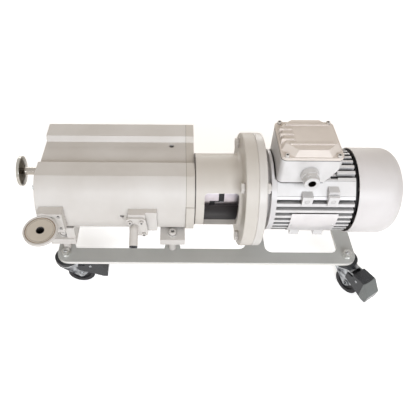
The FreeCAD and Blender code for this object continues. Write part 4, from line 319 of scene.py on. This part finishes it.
def turnedMetal(name, choices):
    look = {**metalDefaults, **choices}
    material, tree, coords = startMaterial(name)
    # packed along x the lines run round the shaft, drawn out along x they run with it
    stretch = addNode(tree, "ShaderNodeMapping", {"Scale": look["along"]}, {"Vector": coords})
    lines = addNode(tree, "ShaderNodeTexNoise",
                    {"Scale": patternScale(look["line"]), "Detail": grainDetail},
                    {"Vector": stretch.outputs[0]})
    closeMaterial(tree, {"Metallic": 1.0},
                  finishedSurface(tree, coords, look, lines.outputs["Fac"]))
    return material


plasticDefaults = {"edge": 0.5, "edgeHighlight": 0.35, "edgeHighlightColour": "6A6B6E", "reach": 6.0, "shut": 0.1,
                   "open": 0.5, "hollowShade": 0.7, "hollowShadeColour": "050506", "relief": 0.2,
                   "glossier": 0.04, "duller": 0.04, "ior": 1.46, "zones": []}


def mouldedPlastic(name, choices):
    look = {**plasticDefaults, **choices}
    material, tree, coords = startMaterial(name)
    grain = addNode(tree, "ShaderNodeTexVoronoi", {"Scale": patternScale(look["grain"])},
                    {"Vector": coords})
    closeMaterial(tree, {"IOR": look["ior"]},
                  finishedSurface(tree, coords, look, grain.outputs["Distance"]))
    return material


# where the two-coloured pieces change, read from the frame in millimetres
shaft = spotOf(joints["drive_spin"])
inlet = spotOf(mounts["inlet_bore"])
disc = middleOf("exhaust_disc")
gland = middleOf("cable_gland")
floorLevel = (0, 0, 0)
pumpEnamel = {"dark": "CFCAC4", "light": "D7D3CE", "patch": 60, "peel": 1.6, "bump": 0.12,
              "rough": 0.5, "coat": 0.06, "hollowShadeColour": "2A2522"}
# a darker, warmer copy of the pump's enamel: the same paint, its darkening painted shade
shadedEnamelCopy = {**pumpEnamel, "dark": "CBC5BC", "light": "D3CDC5"}
motorLacquer = {"dark": "D5D3D1", "light": "DFDDDC", "patch": 25, "peel": 0.9, "bump": 0.15,
                "rough": 0.36, "edge": 0.5, "metal": 0.1}
paints = {
    # two-pack enamel sprayed on cast iron: even, slightly warm, with a soft satin sheen
    "satinEnamelOnCastIron": pumpEnamel,
    # the shaded copy of the enamel on the lantern: its bore painted near black as painted shade, its joint line
    # drawn dark
    "satinEnamelOnLantern": {
        **shadedEnamelCopy,
        "zones": [{"centre": shaft, "keep": (0, 1, 1), "none": 54.6, "full": 54.0,
                   "colour": "433D3E"},
                  {"centre": lowOf("coupling_lantern"), "keep": (1, 0, 0), "none": 2.4,
                   "full": 2.0, "colour": "3A2E24"}]},
    # the shaded copy of the enamel on the drive-end plate, with the thin open line of its joint to the casing
    "satinEnamelOnPlate": {
        **shadedEnamelCopy,
        "zones": [{"centre": lowOf("drive_end_plate"), "keep": (1, 0, 0), "none": 0.85,
                   "full": 0.7, "colour": "8E8679"}]},
    # the same enamel over screws, whose sockets fill with shade
    "satinEnamelOnScrews": {
        **pumpEnamel, "dark": "D1CCC6", "light": "D9D5D0", "patch": 12, "peel": 1.2,
        "hollowShadeColour": "15110F", "reach": 5.0, "shut": 0.3, "open": 0.7, "hollowShade": 0.97},
    # the same enamel on the exhaust housing, its bore painted black as painted shade
    "sootyEnamelOnExhaust": {
        **pumpEnamel,
        "zones": [{"centre": disc, "keep": (1, 1, 0), "none": 8.6, "full": 8.0,
                   "colour": "120E0C"}]},
    # baked beige enamel of the exhaust disc: yellower and duller than the casing
    "beigeBakedEnamel": {
        "dark": "C4BAAC", "light": "CFC6B9", "patch": 40, "peel": 1.2, "bump": 0.1, "rough": 0.5,
        "edge": 0.4, "hollowShadeColour": "3A2C22",
        "zones": [{"centre": disc, "keep": (1, 1, 1), "none": 23.2, "full": 23.6,
                   "colour": "8C7660"},
                  # its open centre painted black: painted shade in the bore
                  {"centre": disc, "keep": (1, 1, 0), "none": 7.2, "full": 6.6,
                   "colour": "120E0C"}]},
    # silver lacquer over die-cast aluminium: cool light grey with a faint metal sparkle
    "silverLacquerOnDieCast": {
        **motorLacquer, "shut": 0.3, "hollowShade": 0.97, "hollowShadeColour": "171517"},
    # the same lacquer on the finned frame, its gaps painted dark as painted shade, fully in the upper ones and
    # half as much below
    "silverLacquerOnFins": {
        **motorLacquer, "shut": 0.35, "open": 0.6, "hollowShade": 0.98, "hollowShadeColour": "100E10",
        "hollowShadeZone": {"centre": floorLevel, "keep": (0, 0, 1), "none": shaft.z + 18,
                     "full": shaft.z + 40, "least": 0.5}},
    # the same lacquer on the rear shield, painted near black as painted shade in the gap under the fan cowl
    "dustyLacquerOnShield": {
        **motorLacquer, "dark": "262425", "light": "343233", "patch": 12, "rough": 0.6,
        "metal": 0.0, "edgeHighlightColour": "4A4849", "hollowShadeColour": "100E10"},
    # the same lacquer on the terminal box, its lowest edge painted dark as a painted shadow where it stands on the
    # gasket
    "silverLacquerOnBox": {
        **motorLacquer, "shut": 0.25, "open": 0.6, "reach": 16.0,
        "zones": [{"centre": lowOf("terminal_box"), "keep": (0, 0, 1), "none": 1.8,
                   "full": 1.2, "colour": "1E1B1A"}]},
    # motor flange: the pump's enamel on the disc, silver lacquer from its neck on
    "enamelToSilverOnShield": {
        **pumpEnamel, "peel": 1.2, "rough": 0.38, "coat": 0.15,
        "zones": [{"centre": lowOf("motor_flange_shield"), "keep": (1, 0, 0), "none": 17.65,
                   "full": 18.05, "colour": "D4D1D0"}]},
    # lacquer on the pressed steel fan cowl: a shade paler and smoother, without the sparkle
    "silverLacquerOnSheet": {
        "dark": "DAD6D4", "light": "E1DDDC", "patch": 50, "peel": 1.4, "bump": 0.1,
        "rough": 0.38, "edge": 0.5, "coat": 0.05},
    # powder coat on the terminal box lid: warm beige grey with a fine leather-like grain
    "fineGrainPowderCoat": {
        "dark": "DDD3CA", "light": "E5DCD3", "patch": 45, "peel": 0.7, "bump": 0.3,
        "rough": 0.5},
    # enamel on the laser-cut frame plate: plain grey on top, its cut rim painted paler as a painted highlight
    "greyEnamelOnPlate": {
        "dark": "B1B1AD", "light": "B9B9B5", "patch": 70, "peel": 1.4, "bump": 0.1,
        "rough": 0.42, "edgeHighlight": 0.8,
        "zones": [{"centre": highOf("base_frame"), "keep": (0, 0, 1), "none": 0.4,
                   "full": 0.8, "colour": "E8E6E0"}]},
}
# lathe and brush lines are finer than a pixel in life, so line is drawn coarse enough to show
metals = {
    # stainless steel, turned and mirror-polished: sharp, its colour darkened as a painted reflection of a dark
    # room, with a paler rim and neck as painted highlights
    "polishedStainless": {
        "dark": "4A4640", "light": "857F75", "patch": 9, "along": (12, 1, 1), "line": 4,
        "bump": 0.05, "rough": 0.16,
        "zones": [{"centre": inlet, "keep": (0, 1, 1), "none": 24.0, "full": 26.5,
                   "colour": "AFABA3"},
                  {"centre": inlet, "keep": (0, 1, 1), "none": 10.0, "full": 7.5,
                   "colour": "A8A199"}]},
    # fine-turned aluminium of the coupling hubs: pale, with soft rings round the shaft
    "turnedAluminium": {
        "dark": "B3ABB0", "light": "CBC4C8", "patch": 15, "along": (10, 1, 1), "line": 3,
        "bump": 0.15, "rough": 0.3},
    # bright zinc plate on pressed steel: bluish, a little cloudy
    "brightZincPlate": {
        "dark": "A4A6A6", "light": "D2D3D2", "patch": 6, "along": (1, 1, 1), "line": 2,
        "bump": 0.12, "rough": 0.26},
    # blackened zinc on the caster forks: dark and glossy, with bright patches mottled in as painted highlights
    "blackenedZincPlate": {
        "dark": "303236", "light": "BFC1C3", "patch": 10, "along": (1, 1, 1), "line": 2,
        "bump": 0.12, "rough": 0.22},
    # ground shaft steel: cool grey with fine rings
    "groundSteel": {
        "dark": "A8A9AC", "light": "BABBBE", "patch": 20, "along": (14, 1, 1), "line": 3,
        "bump": 0.1, "rough": 0.26},
    # machined grey iron of the inner walls and claws: dull mid grey
    "machinedGreyIron": {
        "dark": "77787A", "light": "8A8B8D", "patch": 12, "along": (10, 1, 1), "line": 2,
        "bump": 0.2, "rough": 0.45},
    # brushed bare aluminium sheet: pale, with a grain along its length
    "brushedAluminiumSheet": {
        "dark": "D3D0D1", "light": "DCDADA", "patch": 30, "along": (0.15, 3, 3), "line": 1.5,
        "bump": 0.12, "rough": 0.45, "edge": 0.2},
}
blackNylon = {"dark": "17181B", "light": "24262A", "patch": 8, "grain": 0.6, "bump": 0.1,
              "rough": 0.24, "edge": 0.8, "ior": 1.53}
# the grain of a mould is finer than a pixel too, and is drawn at the size given here
plastics = {
    # black polyurethane and nitrile: dull, faintly pored
    "blackPolyurethane": {
        "dark": "161517", "light": "222022", "patch": 6, "grain": 0.8, "bump": 0.15,
        "rough": 0.6},
    # glass-filled nylon of pedals and fan: near black with a tight satin gloss
    "blackGlassFilledNylon": blackNylon,
    # the same nylon on the right front pedal: black, with a duller grey moulded tip
    "greyTippedNylon": {
        **blackNylon, "rough": 0.26,
        "zones": [{"centre": spotOf(joints["front_right_swivel"]), "keep": (1, 1, 0),
                   "none": 60.0, "full": 61.0, "colour": "6D716F"}]},
    # black moulded caster head, satin, under a bright zinc-plated nut and washer
    "blackHeadZincNut": {
        "dark": "17181B", "light": "232528", "patch": 8, "grain": 0.6, "bump": 0.08,
        "rough": 0.3, "ior": 1.5,
        "zones": [{"centre": highOf("caster_studs"), "keep": (0, 0, 1), "none": 9.6,
                   "full": 9.2, "colour": "DEDEDA", "bareRough": 0.34}]},
    # light grey moulded polyamide gland: satin, with shade in its open mouth
    "lightGreyPolyamide": {
        "dark": "D0CECC", "light": "DAD8D6", "patch": 10, "grain": 0.7, "bump": 0.08,
        "rough": 0.34, "edgeHighlightColour": "E2E1DF", "hollowShadeColour": "1E1B1A", "ior": 1.53,
        "reach": 12.0,
        "zones": [{"centre": gland, "keep": (1, 0, 1), "none": 6.4, "full": 6.05,
                   "colour": "17130F"}]},
    # the same grey polyamide as small plugs in unused holes, a shade duller
    "greyPolyamidePlug": {
        "dark": "C9C7C5", "light": "D2D0CE", "patch": 6, "grain": 0.7, "bump": 0.08,
        "rough": 0.4, "edgeHighlightColour": "E6E4E2", "hollowShadeColour": "6A6766", "ior": 1.53},
    # electric grey laminate, pressed: flat mid grey and almost smooth
    "greyLaminate": {
        "dark": "555658", "light": "626365", "patch": 12, "grain": 0.5, "bump": 0.05,
        "rough": 0.5},
}
finishes = {}
for makeFinish, looks in ((sprayedPaint, paints), (turnedMetal, metals),
                          (mouldedPlastic, plastics)):
    for name, look in looks.items():
        finishes[name] = makeFinish(name, look)
print("materials made:", len(finishes))

finishOf = {
    "casing_paint": "satinEnamelOnCastIron", "post_paint": "satinEnamelOnCastIron",
    "bolt_paint": "satinEnamelOnScrews", "beige_paint": "beigeBakedEnamel",
    "inner_iron": "machinedGreyIron", "core_steel": "machinedGreyIron",
    "shaft_steel": "groundSteel", "gear_steel": "groundSteel",
    "screw_steel": "brightZincPlate", "polished_steel": "polishedStainless",
    "hub_aluminium": "turnedAluminium", "plate_metal": "brushedAluminiumSheet",
    "motor_paint": "silverLacquerOnDieCast", "motor_aluminium": "silverLacquerOnDieCast",
    "lid_paint": "fineGrainPowderCoat", "fan_plastic": "blackGlassFilledNylon",
    "gland_plastic": "lightGreyPolyamide", "black_rubber": "blackPolyurethane",
    "frame_paint": "greyEnamelOnPlate", "caster_black": "blackHeadZincNut",
    "zinc_steel": "blackenedZincPlate", "wheel_rubber": "blackPolyurethane",
    "pedal_plastic": "blackGlassFilledNylon", "pedal_grey": "greyTippedNylon"}
# nodes whose finish differs from the rest of their slot
finishOfNode = {
    "coupling_lantern": "satinEnamelOnLantern", "drive_end_plate": "satinEnamelOnPlate",
    "exhaust_housing": "sootyEnamelOnExhaust", "motor_flange_shield": "enamelToSilverOnShield",
    "motor_frame": "silverLacquerOnFins", "rear_shield": "dustyLacquerOnShield",
    "fan_cowl": "silverLacquerOnSheet", "terminal_box": "silverLacquerOnBox",
    "terminal_board": "greyLaminate", "motor_screws": "satinEnamelOnScrews"}
slotOf = {piece["node"]: piece["material_slot"] for piece in frame["record"]["subparts"]}
for name, thing in nodes.items():
    for slot in thing.material_slots:
        slot.material = finishes[finishOfNode.get(name, finishOf[slotOf[name]])]
print("materials on the model's nodes")


# repeated small parts: a mesh of points carries one instance at each, by Geometry Nodes
facets = {"washer": 40, "bead": 64, "beadSection": 8, "dome": 20, "domeRings": 12, "rod": 10}


def addInput(tree, name, value):
    socket = tree.interface.new_socket(name, in_out="INPUT", socket_type="NodeSocketFloat")
    socket.default_value = value
    return socket.identifier


def washerShape(tree, sizes):
    loop = addNode(tree, "GeometryNodeCurvePrimitiveCircle", {"Resolution": facets["washer"]},
                   {"Radius": sizes["Radius"]})
    section = addNode(tree, "GeometryNodeCurvePrimitiveQuadrilateral", None,
                      {"Width": sizes["Width"], "Height": sizes["Height"]})
    swept = addNode(tree, "GeometryNodeCurveToMesh", {"Fill Caps": True},
                    {"Curve": loop.outputs[0], "Profile Curve": section.outputs[0]})
    return swept.outputs[0]


def beadShape(tree, sizes):
    loop = addNode(tree, "GeometryNodeCurvePrimitiveCircle", {"Resolution": facets["bead"]},
                   {"Radius": sizes["Radius"]})
    section = addNode(tree, "GeometryNodeCurvePrimitiveCircle",
                      {"Resolution": facets["beadSection"]}, {"Radius": sizes["Width"]})
    swept = addNode(tree, "GeometryNodeCurveToMesh", None,
                    {"Curve": loop.outputs[0], "Profile Curve": section.outputs[0]})
    return swept.outputs[0]


def domeShape(tree, sizes):
    ball = addNode(tree, "GeometryNodeMeshUVSphere",
                   {"Segments": facets["dome"], "Rings": facets["domeRings"]},
                   {"Radius": sizes["Radius"]})
    flat = addNode(tree, "ShaderNodeMath", {"operation": "DIVIDE"},
                   {0: sizes["Height"], 1: sizes["Radius"]})
    scale = addNode(tree, "ShaderNodeCombineXYZ", {0: 1.0, 1: 1.0}, {2: flat.outputs[0]})
    squashed = addNode(tree, "GeometryNodeTransform", None,
                       {"Geometry": ball.outputs[0], "Scale": scale.outputs[0]})
    return squashed.outputs[0]


def rodShape(tree, sizes):
    rod = addNode(tree, "GeometryNodeMeshCylinder", {"Vertices": facets["rod"]},
                  {"Radius": sizes["Radius"], "Depth": sizes["Height"]})
    return rod.outputs["Mesh"]


def repeatAt(name, shape, sizes, spots, material, body, turn=(0, 0, 0)):
    points = bpy.data.meshes.new(name)
    points.from_pydata([tuple(value / perMetre for value in spot) for spot in spots], [], [])
    piece = newObject(name, points)
    tree = bpy.data.node_groups.new(name + "Tree", "GeometryNodeTree")
    tree.interface.new_socket("Geometry", in_out="INPUT", socket_type="NodeSocketGeometry")
    tree.interface.new_socket("Geometry", in_out="OUTPUT", socket_type="NodeSocketGeometry")
    identifiers = {label: addInput(tree, label, value / perMetre)
                   for label, value in sizes.items()}
    start = addNode(tree, "NodeGroupInput")
    made = shape(tree, start.outputs)
    cloud = addNode(tree, "GeometryNodeMeshToPoints", None, {"Mesh": start.outputs["Geometry"]})
    copies = addNode(tree, "GeometryNodeInstanceOnPoints",
                     {"Rotation": tuple(math.radians(angle) for angle in turn)},
                     {"Points": cloud.outputs[0], "Instance": made})
    real = addNode(tree, "GeometryNodeRealizeInstances", None, {"Geometry": copies.outputs[0]})
    coloured = addNode(tree, "GeometryNodeSetMaterial", {"Material": finishes[material]},
                       {"Geometry": real.outputs[0]})
    addNode(tree, "NodeGroupOutput", None, {"Geometry": coloured.outputs[0]})
    modifier = piece.modifiers.new(name, "NODES")
    modifier.node_group = tree
    for label, value in sizes.items():
        modifier[identifiers[label]] = value / perMetre
    graph = bpy.context.evaluated_depsgraph_get()
    plain = bpy.data.meshes.new_from_object(piece.evaluated_get(graph))
    piece.modifiers.clear()
    piece.data = plain
    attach(piece, body)
    print("made:", name, len(plain.polygons), "faces")


corners = ("front_left", "rear_left", "front_right", "rear_right")


def overCasters(height):
    return [(*spotOf(joints[corner + "_swivel"]).xy, height) for corner in corners]


# washers under the heads of the screws that hold the feet, seated above each foot's underside
footWashers = {"seat": 13.0, "out": 83.5, "sizes": {"Radius": 7.9, "Width": 2.2, "Height": 1.4}}
washerRise = footWashers["seat"] + footWashers["sizes"]["Height"] / 2
repeatAt("footWashers", washerShape, footWashers["sizes"],
         [(middleOf(foot).x, middleOf(foot).y + side * footWashers["out"],
           lowOf(foot).z + washerRise)
          for foot in ("left_foot", "right_foot") for side in (-1, 1)],
         "satinEnamelOnCastIron", "pump")

# domed ends of the caster studs above their nuts
studEnds = {"sizes": {"Radius": 4.3, "Height": 1.5}}
repeatAt("studEnds", domeShape, studEnds["sizes"], overCasters(highOf("caster_studs").z),
         "brightZincPlate", "pump")

# pressed ball race round the top of each caster's fork; its width is the radius of the bead
ballRaces = {"under": 0.8, "sizes": {"Radius": 20.8, "Width": 0.9}}
repeatAt("ballRaces", beadShape, ballRaces["sizes"],
         overCasters(highOf("front_left_fork").z - ballRaces["under"]),
         "brightZincPlate", "pump")

# two rivets hold the bare nameplate, out and down from the motor's shaft
plateRivets = {"inset": 3.85, "tilt": 12.0, "out": 73.1, "sizes": {"Radius": 1.7, "Height": 0.8}}
plateTilt = math.radians(plateRivets["tilt"])
plateY = shaft.y - plateRivets["out"] * math.cos(plateTilt)
plateZ = shaft.z - plateRivets["out"] * math.sin(plateTilt)
repeatAt("plateRivets", domeShape, plateRivets["sizes"],
         [(lowOf("nameplate").x + plateRivets["inset"], plateY, plateZ),
          (highOf("nameplate").x - plateRivets["inset"], plateY, plateZ)],
         "brightZincPlate", "pump", turn=(90 + plateRivets["tilt"], 0, 0))

# grip ribs round the nose of the cable gland, behind its mouth
gripRibs = {"count": 24, "behind": 5.65, "out": 12.0, "sizes": {"Radius": 0.6, "Height": 9.0}}
gripTurns = [2 * math.pi * index / gripRibs["count"] for index in range(gripRibs["count"])]
repeatAt("gripRibs", rodShape, gripRibs["sizes"],
         [(gland.x + gripRibs["out"] * math.cos(turn),
           lowOf("cable_gland").y + gripRibs["behind"],
           gland.z + gripRibs["out"] * math.sin(turn)) for turn in gripTurns],
         "lightGreyPolyamide", "pump", turn=(90, 0, 0))

# plastic plugs in the tapped holes of the motor's upper foot pads
padPlugs = {"along": (48.75, 91.35), "out": 67.75, "up": 37.0,
            "sizes": {"Radius": 3.9, "Height": 0.9}}
repeatAt("padPlugs", domeShape, padPlugs["sizes"],
         [(lowOf("motor_frame").x + along, shaft.y + side * padPlugs["out"],
           shaft.z + padPlugs["up"]) for along in padPlugs["along"] for side in (-1, 1)],
         "greyPolyamidePlug", "pump", turn=(90, 0, 0))

# a black rubber ring in the mouth of the purge tube, standing in as painted shade for its dark open mouth
mouthShadeRing = {"proud": 0.95, "sizes": {"Radius": 5.6, "Width": 2.4, "Height": 2.0}}
purge = mounts["purge_bore"]
purgeLean = math.degrees(math.acos(purge["axis"][2]))
repeatAt("mouthShadeRing", washerShape, mouthShadeRing["sizes"],
         [spotOf(purge) + Vector(purge["axis"]) * mouthShadeRing["proud"]],
         "blackPolyurethane", "pump", turn=(purgeLean, 0, 0))

# riveted ends of the caster axles, two on each fork
axleHeads = {"out": 12.5, "sizes": {"Radius": 4.6, "Height": 1.4}}
for corner in corners:
    axle = joints[corner + "_roll"]
    across = Vector(axle["axis"])
    heading = math.degrees(math.atan2(-across.x, across.y))
    repeatAt(corner + "_axle_heads", domeShape, axleHeads["sizes"],
             [spotOf(axle) + across * axleHeads["out"] * side for side in (-1, 1)],
             "brightZincPlate", corner + "_caster", turn=(90, 0, heading))
print("small parts made")
